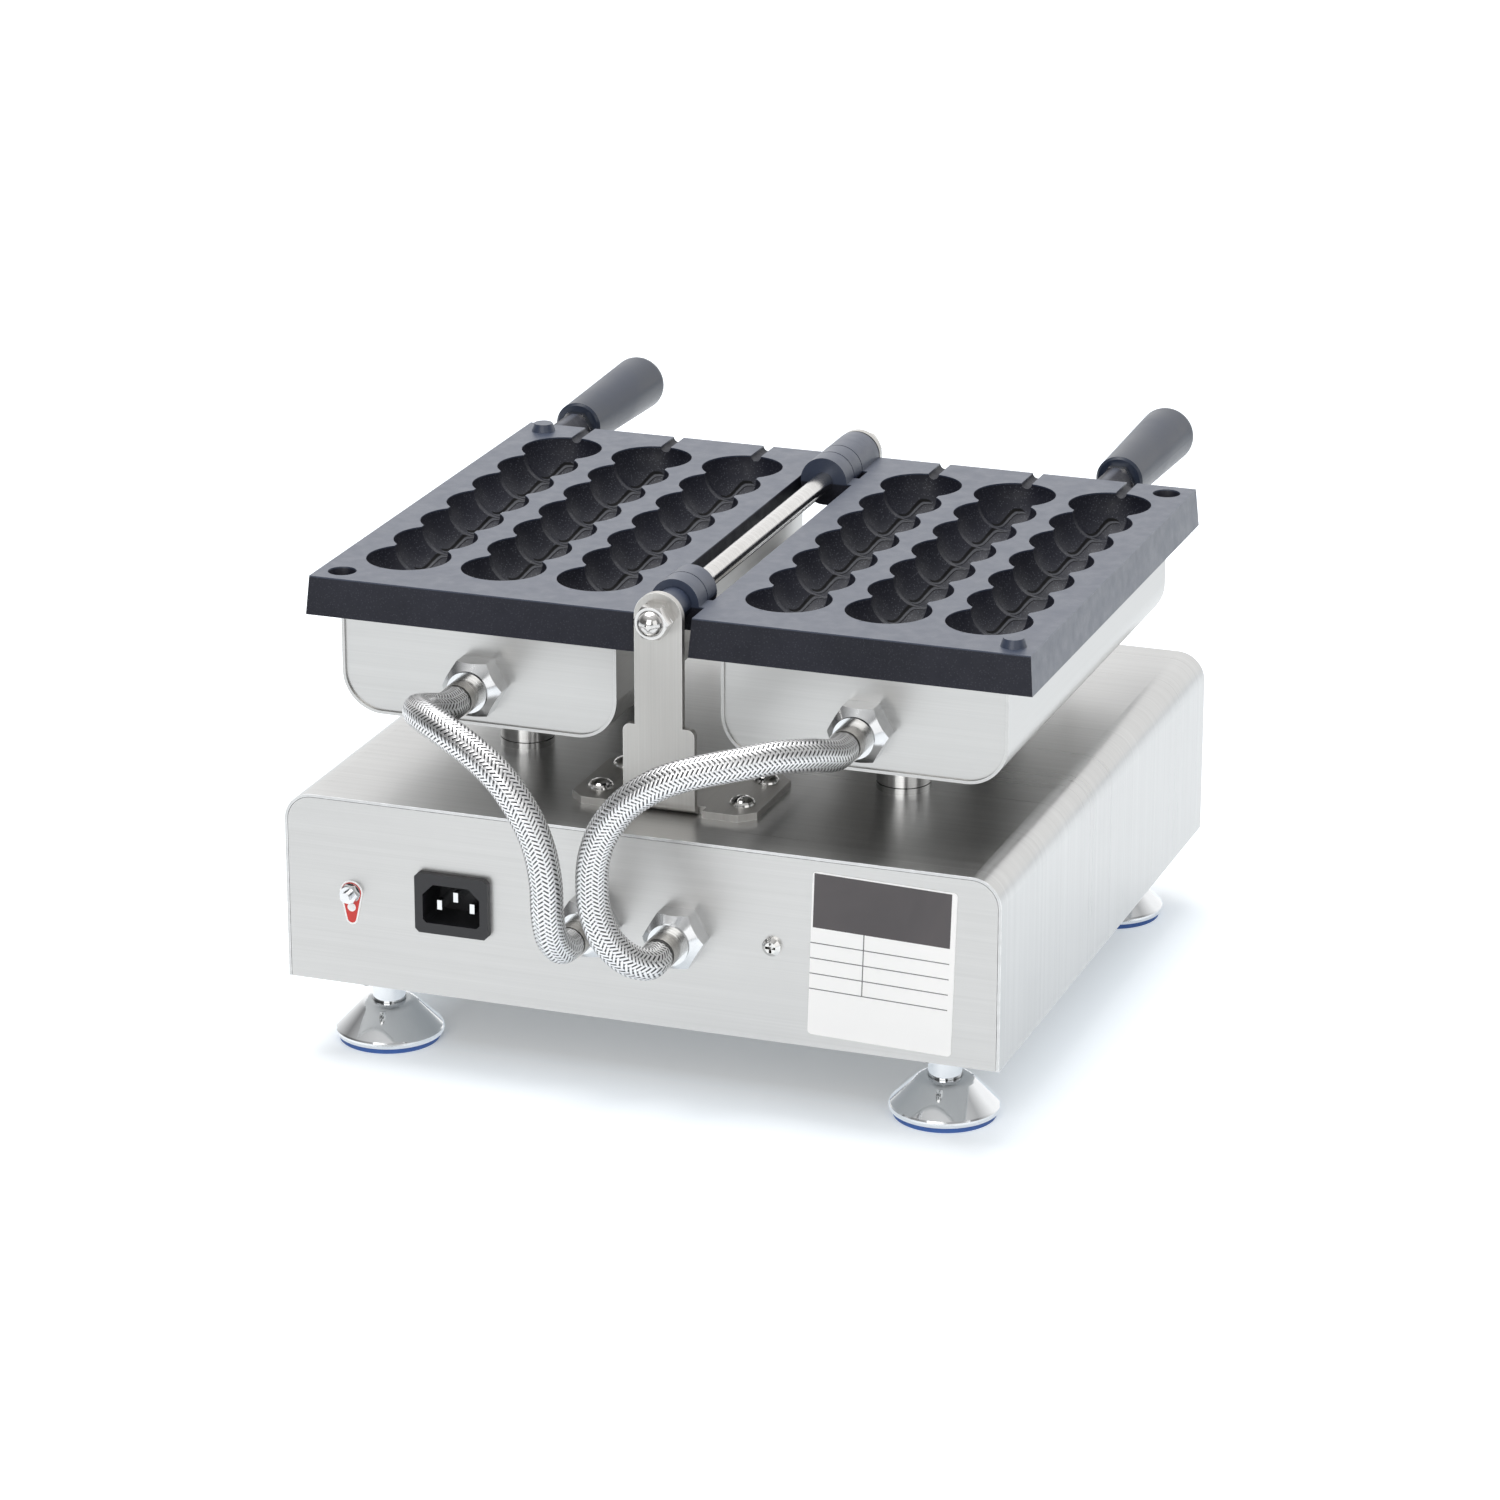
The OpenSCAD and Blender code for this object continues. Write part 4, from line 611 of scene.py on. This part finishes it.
finishes["coated_casting"] = coated_casting("coated_casting")
print("made", finishes["coated_casting"].name)

# %% [markdown]
# ## Plastics, rubber, ceramic and wool
# Grips, knobs and the inlet are black moulded plastic: a very fine texture from the mould and a
# satin gloss. The foot pads are blue rubber. Inside, the heater is dark from heat, the terminals
# are in ceramic and the insulation is a fibrous mat. Each gets its own grain and wear.

# %% Moulded and other finishes
def moulded(name, dark, light, edge_colour, rough, grain_size, grain_depth, **constants):
    """Plastic, rubber or ceramic: two close colours in clouds, a fine grain and paler edges."""
    made, tree, shader, place = new_material(name, 0.0, rough[0], **constants)
    grain = use_group(tree, casting_grain, {"Vector": place, "Size": grain_size})
    cloud = use_group(tree, smudges, {"Vector": place, "Size": 22.0})
    edge = use_group(tree, edge_wear_and_highlight, {"Vector": place, "Width": 0.0005})
    colour = blend_colours(tree, cloud["Cloud"], dark, light)
    colour = blend_colours(tree, times(tree, edge["Edge"], 0.25), colour, edge_colour)
    tree.links.new(colour, shader.inputs["Base Color"])
    tree.links.new(to_range(tree, cloud["Cloud"], rough[0], rough[1]), shader.inputs["Roughness"])
    bump(tree, shader, grain["Height"], grain_depth, 0.0001)
    return made


def heat_tinted(name):
    """The heater's steel, straw and blue where it gets hot."""
    made, tree, shader, place = new_material(name, 1.0, 0.4)
    cloud = use_group(tree, smudges, {"Vector": place, "Size": 30.0})
    colour = blend_colours(tree, cloud["Cloud"], (0.20, 0.15, 0.11), (0.16, 0.17, 0.22))
    tree.links.new(colour, shader.inputs["Base Color"])
    grain = use_group(tree, casting_grain, {"Vector": place, "Size": 2500.0})
    bump(tree, shader, grain["Height"], 0.3, 0.0001)
    return made


def fibre_mat(name):
    """Ceramic wool: short fibres in two directions."""
    made, tree, shader, place = new_material(name, 0.0, 0.95)
    first = use_group(tree, brushed_lines, {"Vector": place, "Stretch": (90, 900, 900)})
    second = use_group(tree, brushed_lines, {"Vector": place, "Stretch": (900, 90, 900)})
    fibres = calc(tree, "MAXIMUM", first["Lines"], second["Lines"])
    colour = blend_colours(tree, fibres, (0.62, 0.58, 0.50), (0.88, 0.86, 0.80))
    tree.links.new(colour, shader.inputs["Base Color"])
    bump(tree, shader, fibres, 0.8, 0.0006)
    return made


# Of each: dark, light and edge colour, least and most roughness, and the grain's size and depth
PLASTICS = {
    "grip_plastic": ((0.016, 0.024, 0.044), (0.022, 0.031, 0.056), (0.06, 0.07, 0.09),
                     (0.28, 0.38), 2600.0, 0.12),
    "black_plastic": ((0.010, 0.010, 0.012), (0.018, 0.018, 0.021), (0.06, 0.06, 0.07),
                      (0.34, 0.48), 2200.0, 0.2),
    "blue_rubber": ((0.045, 0.12, 0.38), (0.06, 0.15, 0.44), (0.08, 0.18, 0.6),
                    (0.5, 0.7), 1500.0, 0.4),
    "ceramic": ((0.74, 0.70, 0.62), (0.82, 0.79, 0.72), (0.9, 0.88, 0.82),
                (0.25, 0.5), 1800.0, 0.2),
    "red_plastic": ((0.55, 0.012, 0.010), (0.64, 0.018, 0.014), (0.75, 0.1, 0.08),
                    (0.18, 0.3), 3000.0, 0.06),
}
for name, looks in PLASTICS.items():
    finishes[name] = moulded(name, *looks)
finishes["amber_lens"] = moulded("amber_lens", (0.82, 0.30, 0.02), (0.92, 0.40, 0.04),
                                 (0.98, 0.6, 0.2), (0.08, 0.16), 3000.0, 0.03, Coat_Weight=0.6)
finishes["heater_steel"] = heat_tinted("heater_steel")
finishes["ceramic_wool"] = fibre_mat("ceramic_wool")
print("all finishes:", len(finishes))

# %% [markdown]
# ## A finish for every solid
# The frame's solids keep their shapes and get these finishes. Left and right pieces share one.

# %% Paint the solids
SOLIDS = {
    "cover_steel": ["base_cover"],
    "panel_steel": ["rear_panel", "front_panel", "bottom_plate"],
    "pan_steel": ["right_pan", "left_pan"],
    "bracket_steel": ["rear_bracket", "front_bracket", "right_heater_clamps", "left_heater_clamps"],
    "turned_steel": ["hinge_shaft", "shaft_nuts", "shaft_cap_nuts", "foot_nuts",
                     "right_handle_stud", "left_handle_stud", "right_jam_nut", "left_jam_nut"],
    "post_steel": ["rest_posts", "post_screws"],
    "crimped_steel": ["base_ferrules", "right_ferrule", "left_ferrule"],
    "nickel_plate": ["base_glands", "right_gland", "left_gland", "earth_stud", "earth_nuts",
                     "inlet_pins"],
    "bolt_steel": ["bracket_screws", "panel_screws", "right_pan_screws", "left_pan_screws"],
    "chrome": ["front_right_foot", "front_left_foot", "rear_right_foot", "rear_left_foot"],
    "blue_rubber": ["front_right_pad", "front_left_pad", "rear_right_pad", "rear_left_pad"],
    "coated_casting": ["right_plate", "left_plate"],
    "grip_plastic": ["right_grip", "left_grip"],
    "black_plastic": ["power_inlet", "switch_frame", "timer_knob", "thermostat_knob", "timer"],
    "brass": ["thermostat"],
    "red_plastic": ["power_rocker"],
    "amber_lens": ["indicator_lamps"],
    "ceramic": ["terminal_block"],
    "heater_steel": ["right_heater", "left_heater"],
    "ceramic_wool": ["right_insulation", "left_insulation"],
}


def paint(piece, finish):
    """Puts one finish on a piece."""
    if not piece.material_slots:
        piece.data.materials.append(finish)
    for place in piece.material_slots:
        place.material = finish


for finish, names in SOLIDS.items():
    for name in names:
        paint(nodes[name], finishes[finish])
plain = sorted(set(nodes) - {n for names in SOLIDS.values() for n in names})
print("solids painted:", sum(len(n) for n in SOLIDS.values()), "left plain:", plain)

# %% [markdown]
# ## The finish of the braid
# The map on the hose holds how far a point is across a strand, so a wave over it paints a dark
# line of shade between two strands, and the value on each point chooses the strand on top. Where
# strands leave a gap, the colour is nearly black and not metal: painted shade in the hole. Bare
# metal would be one even grey.

# %% Braid finish
def wire_braid(name):
    """Strands with painted shade between them and in the gaps."""
    made, tree, shader, place = new_material(name, 1.0, 0.3)
    across = axes(tree, add_node(tree, "ShaderNodeUVMap", uv_map="strands").outputs[0])
    on_top = add_node(tree, "ShaderNodeAttribute", attribute_name="strand_on_top").outputs["Fac"]
    gap = add_node(tree, "ShaderNodeAttribute", attribute_name="gap").outputs["Fac"]
    wires = [calc(tree, "COSINE", times(tree, across[k], 2 * math.pi)) for k in (0, 1)]
    either = {"Factor": on_top, 2: wires[1], 3: wires[0]}
    chosen = add_node(tree, "ShaderNodeMix", either).outputs[0]
    crown = to_range(tree, chosen, 1, 0, -1, 1)
    lit = to_range(tree, chosen, 1, 0, 0.0, 0.7)
    cloud = use_group(tree, smudges, {"Vector": place, "Size": 60.0})
    # Painted shade in the line between two strands, and in the gaps
    colour = blend_colours(tree, lit, (0.035, 0.035, 0.037), (0.78, 0.78, 0.785))
    colour = blend_colours(tree, gap, colour, (0.015, 0.015, 0.017))
    tree.links.new(colour, shader.inputs["Base Color"])
    tree.links.new(to_range(tree, cloud["Cloud"], 0.30, 0.38), shader.inputs["Roughness"])
    tree.links.new(calc(tree, "SUBTRACT", 1.0, gap), shader.inputs["Metallic"])
    bump(tree, shader, crown, 0.3, 0.0001)
    return made


braid_finish = wire_braid("wire_braid")
for hose in hoses.values():
    paint(hose, braid_finish)
print("painted", [h.name for h in hoses.values()])

# %% [markdown]
# ## The rating plate
# A white sticker with a dark band on top and a small table under it lies on the rear panel. It
# could be one flat box with a picture. Here a plane is cut along every line of the print, and
# the strips between two cuts take the ink. So the print stays sharp at any size.

# %% Helpers for modelling
def start_clean():
    """Leaves edit mode and selects nothing."""
    if bpy.context.object and bpy.context.object.mode != "OBJECT":
        bpy.ops.object.mode_set(mode="OBJECT")
    bpy.ops.object.select_all(action="DESELECT")


def select_faces(piece, wanted):
    """In edit mode, selects the faces for which wanted(centre) is true."""
    edit = bmesh.from_edit_mesh(piece.data)
    for part in (*edit.verts, *edit.edges, *edit.faces):
        part.select = False
    for face in edit.faces:
        face.select = bool(wanted(face.calc_center_median()))
    edit.select_flush(True)
    bmesh.update_edit_mesh(piece.data)


def thicken(piece, thickness):
    """Gives a flat sheet its thickness, from its face down to the panel."""
    solidify = piece.modifiers.new("thickness", "SOLIDIFY")
    solidify.thickness = thickness
    solidify.offset = -1
    bpy.ops.object.modifier_apply(modifier=solidify.name)


def hand_over(piece, name, body, finish):
    """Puts the place into the mesh, names the piece and gives it its body and finish."""
    if piece.mode != "OBJECT":
        bpy.ops.object.mode_set(mode="OBJECT")
    bpy.ops.object.transform_apply()
    piece.name = name
    piece.data.name = name
    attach(piece, body)
    if finish:
        paint(piece, finish)
    print("made", name, "with", len(piece.data.polygons), "faces")


print("helpers are ready")

# %% Print finishes
PRINTS = {
    "sticker_white": ((0.93, 0.94, 0.945), (0.96, 0.965, 0.97), (0.9, 0.9, 0.9), (0.3, 0.4)),
    "sticker_band": ((0.065, 0.058, 0.062), (0.080, 0.072, 0.076), (0.2, 0.2, 0.2), (0.32, 0.42)),
    "sticker_line": ((0.13, 0.13, 0.14), (0.17, 0.17, 0.18), (0.2, 0.2, 0.2), (0.35, 0.45)),
    "label_red": ((0.55, 0.03, 0.025), (0.66, 0.05, 0.04), (0.8, 0.3, 0.3), (0.3, 0.42)),
}
for name, looks in PRINTS.items():
    finishes[name] = moulded(name, *looks, grain_size=1200.0, grain_depth=0.05)
print("print finishes are ready")

# %% Model the rating plate
REAR_FACE = 0.1735          # the rear panel's outer face, along y
PLATE_LEFT, PLATE_RIGHT = -0.0726, -0.1314
PLATE_TOP, PLATE_BOTTOM = 0.1055, 0.0375
PLATE_X, PLATE_Z = (PLATE_LEFT + PLATE_RIGHT) / 2, (PLATE_TOP + PLATE_BOTTOM) / 2
PLATE_TILT = math.radians(1.75)                   # it was stuck on a little crooked
PLATE_THICK = 0.00018
CORNER_RADIUS = 0.0016
BAND_EDGES = (-0.0733, -0.1292, 0.1049, 0.0823)   # left, right, top and bottom of the dark band
RULES = (0.0759, 0.0695, 0.0631, 0.0567)          # heights of the four rules
DIVIDER = -0.0943                                 # x of the upright line between two columns
LINE = 0.00022                                    # half the width of a printed line
STICKER_FACE = REAR_FACE + PLATE_THICK
FACING_REAR = (-math.pi / 2, 0, 0)

start_clean()
bpy.ops.mesh.primitive_plane_add(
    size=1, location=(PLATE_X, STICKER_FACE, PLATE_Z), rotation=FACING_REAR)
rating = bpy.context.object
rating.scale = (PLATE_LEFT - PLATE_RIGHT, PLATE_TOP - PLATE_BOTTOM, 1)
bpy.ops.object.transform_apply()
bpy.ops.object.mode_set(mode="EDIT")
bpy.ops.mesh.select_all(action="SELECT")
bpy.ops.mesh.bevel(offset=CORNER_RADIUS, segments=5, affect="VERTICES")
cuts = [((0, 0, z), (0, 0, 1)) for z in BAND_EDGES[2:]]
cuts += [((0, 0, z + side * LINE), (0, 0, 1)) for z in RULES for side in (-1, 1)]
cuts += [((x, 0, 0), (1, 0, 0)) for x in (*BAND_EDGES[:2], DIVIDER - LINE, DIVIDER + LINE)]
for place, across in cuts:
    bpy.ops.mesh.select_all(action="SELECT")
    bpy.ops.mesh.bisect(plane_co=place, plane_no=across)


def on_band(centre):
    left, right, top, bottom = BAND_EDGES
    return right < centre.x < left and bottom < centre.z < top


def on_line(centre):
    rule = any(abs(centre.z - z) < LINE for z in RULES) and BAND_EDGES[1] < centre.x
    divider = abs(centre.x - DIVIDER) < LINE and RULES[-1] < centre.z < BAND_EDGES[3]
    return rule or divider


for finish in ("sticker_white", "sticker_band", "sticker_line"):
    rating.data.materials.append(finishes[finish])
for index, wanted in ((1, on_band), (2, on_line)):
    select_faces(rating, wanted)
    rating.active_material_index = index
    bpy.ops.object.material_slot_assign()
bpy.ops.mesh.select_all(action="SELECT")
bpy.ops.transform.rotate(
    value=PLATE_TILT, orient_axis="Y", center_override=(PLATE_X, REAR_FACE, PLATE_Z))
bpy.ops.object.mode_set(mode="OBJECT")
thicken(rating, PLATE_THICK)
hand_over(rating, "rating_plate", "base", None)

# %% [markdown]
# ## The earth label
# A red drop with a white rim hangs from the earth stud. Its outline is round about the stud,
# runs in two straight sides to a smaller round end, and the rim is an inset of the same face.
# A small white disc lies on the red.

# %% Model the earth label
STUD_X, STUD_Z = 0.1216, 0.0723
LOW_END = 0.0110            # how far the small end hangs below the stud
TOP_R, LOW_R = 0.0050, 0.0026
RIM = 0.0007                # width of the white rim
DISC_R, DISC_DROP = 0.0018, 0.0063      # the disc's radius, and how far below the stud it lies
DISC_INSET, DISC_THICK = 0.0004, 0.00008

# A filled circle, whose lower half is then drawn down and narrowed
start_clean()
bpy.ops.mesh.primitive_circle_add(
    vertices=48, radius=TOP_R, fill_type="NGON",
    location=(STUD_X, STICKER_FACE, STUD_Z), rotation=FACING_REAR)
label = bpy.context.object
bpy.ops.object.transform_apply()
bpy.ops.object.mode_set(mode="EDIT")
edit = bmesh.from_edit_mesh(label.data)
for corner in edit.verts:
    corner.select = corner.co.z < STUD_Z - 0.0001
edit.select_flush_mode()
bmesh.update_edit_mesh(label.data)
share = LOW_R / TOP_R
bpy.ops.transform.resize(value=(share, 1, share), center_override=(STUD_X, REAR_FACE, STUD_Z))
bpy.ops.transform.translate(value=(0, 0, -LOW_END))

for finish in ("sticker_white", "label_red"):
    label.data.materials.append(finishes[finish])
bpy.ops.mesh.select_all(action="SELECT")
bpy.ops.mesh.inset(thickness=RIM, depth=0)
label.active_material_index = 1
bpy.ops.object.material_slot_assign()
bpy.ops.mesh.select_all(action="SELECT")
bpy.ops.object.mode_set(mode="OBJECT")
thicken(label, PLATE_THICK)
hand_over(label, "earth_label", "base", None)

start_clean()
bpy.ops.mesh.primitive_circle_add(
    vertices=32, radius=DISC_R, fill_type="NGON",
    location=(STUD_X, STICKER_FACE, STUD_Z - DISC_DROP), rotation=FACING_REAR)
disc = bpy.context.object
bpy.ops.object.mode_set(mode="EDIT")
bpy.ops.mesh.select_all(action="SELECT")
bpy.ops.mesh.inset(thickness=DISC_INSET, depth=0)
bpy.ops.mesh.select_all(action="SELECT")
bpy.ops.mesh.extrude_region_move(TRANSFORM_OT_translate={"value": (0, DISC_THICK, 0)})
hand_over(disc, "earth_label_disc", "base", finishes["sticker_white"])

# %% [markdown]
# ## Scales round the knobs
# The front panel carries a printed scale round each knob, so that a cook can set minutes and
# degrees. It could run from lower left to lower right, as on many machines. But these knobs point
# straight down at rest, so each scale starts there and covers the turn that the knob's joint has.
# Each tick is a thin bar, set at its angle round the knob's axis, and the numbers are letters made
# into meshes. All of a scale is joined into one piece. A white line on the knob's own bar shows
# which of its ends is the pointer, and it turns with the knob.

# %% Model the scales
FRONT_FACE = -0.1185
KNOB_X, KNOB_Z = 0.082, 0.073
PRINT_THICK = 0.00012
TICK_FROM, TICK_TO, TICK_WIDTH = 0.0232, 0.0258, 0.0007
TICKS_PER_NUMBER = 4
NUMBER_AT, DIGIT_ROOM = 0.0292, 0.0010   # numbers of more digits stand further out at the sides
NUMBER_HEIGHT = 0.0042
SCALE_START = -180                       # straight down, in degrees clockwise from the top
KNOB_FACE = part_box("timer_knob")[0][1]
LINE_WIDTH, LINE_FROM, LINE_TO = 0.0012, 0.004, 0.0135
turns = {joint["name"]: joint["range_deg"][1]
         for joint in frame["record"]["behaviour"]["joints"]
         if joint["name"].endswith("_turn") and "range_deg" in joint}
print("knobs turn by", turns)


def round_knob(middle_x, reach, turn):
    """The x and z of a place at this distance and clockwise turn, as seen from the front."""
    return middle_x + reach * math.sin(turn), KNOB_Z + reach * math.cos(turn)


def thin_bar(width, length, x, face, z, turn=0.0):
    """A bar of print on a face, upright before its turn."""
    bpy.ops.mesh.primitive_cube_add(size=1, location=(0, 0, 0))
    bar = bpy.context.object
    bar.scale = (width, PRINT_THICK, length)
    bar.rotation_euler = (0, turn, 0)
    bar.location = (x, face - PRINT_THICK / 2, z)
    bpy.ops.object.transform_apply()
    return bar


def tick(middle_x, angle):
    """One bar of a scale, angle in degrees clockwise from the top."""
    turn = math.radians(angle)
    x, z = round_knob(middle_x, (TICK_FROM + TICK_TO) / 2, turn)
    return thin_bar(TICK_WIDTH, TICK_TO - TICK_FROM, x, FRONT_FACE, z, turn)


def number(text, x, z):
    """A number on the front panel, as a thin mesh."""
    bpy.ops.object.text_add(location=(x, FRONT_FACE, z), rotation=(math.pi / 2, 0, 0))
    written = bpy.context.object
    written.data.body = text
    written.data.size = NUMBER_HEIGHT
    written.data.align_x = "CENTER"
    written.data.align_y = "CENTER"
    written.data.extrude = PRINT_THICK
    bpy.ops.object.convert(target="MESH")
    bpy.ops.object.transform_apply()
    return bpy.context.object


def scale_ring(name, middle_x, labels, sweep):
    """Ticks and numbers from the pointer's place at rest round to the end of the sweep."""
    start_clean()
    steps = len(labels) - 1
    ticks = TICKS_PER_NUMBER * steps
    parts = [tick(middle_x, SCALE_START + sweep * k / ticks) for k in range(ticks + 1)]
    for k, text in enumerate(labels):
        turn = math.radians(SCALE_START + sweep * k / steps)
        reach = NUMBER_AT + DIGIT_ROOM * (len(text) - 1) * abs(math.sin(turn))
        parts.append(number(text, *round_knob(middle_x, reach, turn)))
    for part in parts:
        part.select_set(True)
    bpy.context.view_layer.objects.active = parts[0]
    bpy.ops.object.join()
    hand_over(parts[0], name, "base", finishes["sticker_line"])


def pointer_line(name, middle_x, dial):
    """A painted line on the bar of a knob, from near its middle down to its pointing end."""
    start_clean()
    line = thin_bar(LINE_WIDTH, LINE_TO - LINE_FROM,
                    middle_x, KNOB_FACE, KNOB_Z - (LINE_FROM + LINE_TO) / 2)
    hand_over(line, name, dial, finishes["sticker_white"])


scale_ring("timer_scale", KNOB_X, ["0", "1", "2", "3", "4", "5"], turns["timer_turn"])
scale_ring("thermostat_scale", -KNOB_X, ["0", "100", "150", "200", "250", "300"],
           turns["thermostat_turn"])
pointer_line("timer_pointer_line", KNOB_X, "timer_dial")
pointer_line("thermostat_pointer_line", -KNOB_X, "thermostat_dial")

# %% [markdown]
# ## Floor, lamps and surroundings
# The machine stands on a pale floor under soft studio light. Bare lamps would blow out the steel,
# so the floor and the surroundings look white only to the camera and in reflections, and the
# lamps stay at the level where a colour renders about as it is written. Towards the camera the
# floor glows more the further it is from the base, which paints where its shadow ends.

# %% Floor
FLOOR_SIZE = 24
FLOOR_GLOW = 0.12            # extra light of the floor towards the camera
FLOOR_SHINE = 0.60           # extra light of the floor in reflections
BASE_MIDDLE = 0.0275         # the base's middle along y
SHADE_HALF = (0.138, 0.146)  # half the width and depth of the shaded ground under the base
start_clean()
bpy.ops.mesh.primitive_plane_add(size=FLOOR_SIZE, location=(0, 0, 0))
floor = bpy.context.object
floor.name = "studio_floor"
pale = bpy.data.materials.new("pale_floor")
pale.use_nodes = True
tree = pale.node_tree
tree.nodes.clear()
seen = add_node(tree, "ShaderNodeLightPath")
x, y, _ = axes(tree, add_node(tree, "ShaderNodeTexCoord").outputs["Object"])
from_middle = calc(tree, "SUBTRACT", y, BASE_MIDDLE)
beside = calc(tree, "SUBTRACT", calc(tree, "ABSOLUTE", x), SHADE_HALF[0])
behind = calc(tree, "SUBTRACT", calc(tree, "ABSOLUTE", from_middle), SHADE_HALF[1])
away = calc(tree, "MAXIMUM", beside, behind)
paint_floor = add_node(tree, "ShaderNodeBsdfDiffuse", {"Color": (0.80, 0.79, 0.775, 1)})
near_glow = times(tree, seen.outputs["Is Camera Ray"], FLOOR_GLOW)
# Painted shadow: the floor's glow rises away from the base, so the floor is darker only close to it
shadow_edge_glow = times(tree, seen.outputs["Is Camera Ray"],
                 to_range(tree, away, 0, 0.6, -0.035, 0.03))
shine = times(tree, seen.outputs["Is Glossy Ray"], FLOOR_SHINE)
strength = calc(tree, "ADD", calc(tree, "ADD", near_glow, shadow_edge_glow), shine)
glow = add_node(tree, "ShaderNodeEmission", {"Color": (0.82, 0.91, 1.0, 1), "Strength": strength})
both = add_node(tree, "ShaderNodeAddShader", {0: paint_floor.outputs[0], 1: glow.outputs[0]})
add_node(tree, "ShaderNodeOutputMaterial", {"Surface": both.outputs[0]})
paint(floor, pale)
print("floor made")

# %% Lamps
LAMP_AIM = Vector((0, 0.02, 0.12))      # the middle of the machine
LAMP_SIZE = 1.8


def soft_lamp(name, place, power):
    """A square lamp that faces the middle of the machine."""
    start_clean()
    turn = (LAMP_AIM - Vector(place)).to_track_quat("-Z", "Y").to_euler()
    bpy.ops.object.light_add(type="AREA", location=place, rotation=turn)
    lamp = bpy.context.object
    lamp.name = name
    lamp.data.shape = "SQUARE"
    lamp.data.size = LAMP_SIZE
    lamp.data.energy = power


soft_lamp("key_softbox", (0.5, -0.35, 2.35), 46.0)
soft_lamp("camera_softbox", (-0.1, 2.7, 1.3), 30.0)
soft_lamp("side_fill", (-2.2, 1.6, 1.0), 12.0)
print("lamps made")

# %% Surroundings
ROOM_LEVEL = 0.30            # light that falls on the machine from all sides
world = bpy.data.worlds.new("studio")
bpy.context.scene.world = world
world.use_nodes = True
tree = world.node_tree
tree.nodes.clear()
seen = add_node(tree, "ShaderNodeLightPath")
_, y, z = axes(tree, add_node(tree, "ShaderNodeTexCoord").outputs["Generated"])
backdrop = to_range(tree, y, 1.25, 0.0, -0.75, 0.15)
ceiling = to_range(tree, z, 0.18, 0.8, 0.45, 0.9)
wall = calc(tree, "MAXIMUM", backdrop, ceiling)
shine = calc(tree, "MAXIMUM", seen.outputs["Is Glossy Ray"], seen.outputs["Is Transmission Ray"])
level = add_node(tree, "ShaderNodeMix", {"Factor": shine, 2: ROOM_LEVEL, 3: wall}).outputs[0]
to_camera = {"Factor": seen.outputs["Is Camera Ray"], 2: level, 3: 1.0}
level = add_node(tree, "ShaderNodeMix", to_camera).outputs[0]
sky = add_node(tree, "ShaderNodeBackground", {"Color": (1, 1, 1, 1), "Strength": level})
add_node(tree, "ShaderNodeOutputWorld", {"Surface": sky.outputs[0]})
bpy.context.scene.view_settings.view_transform = "Standard"
print("surroundings made")
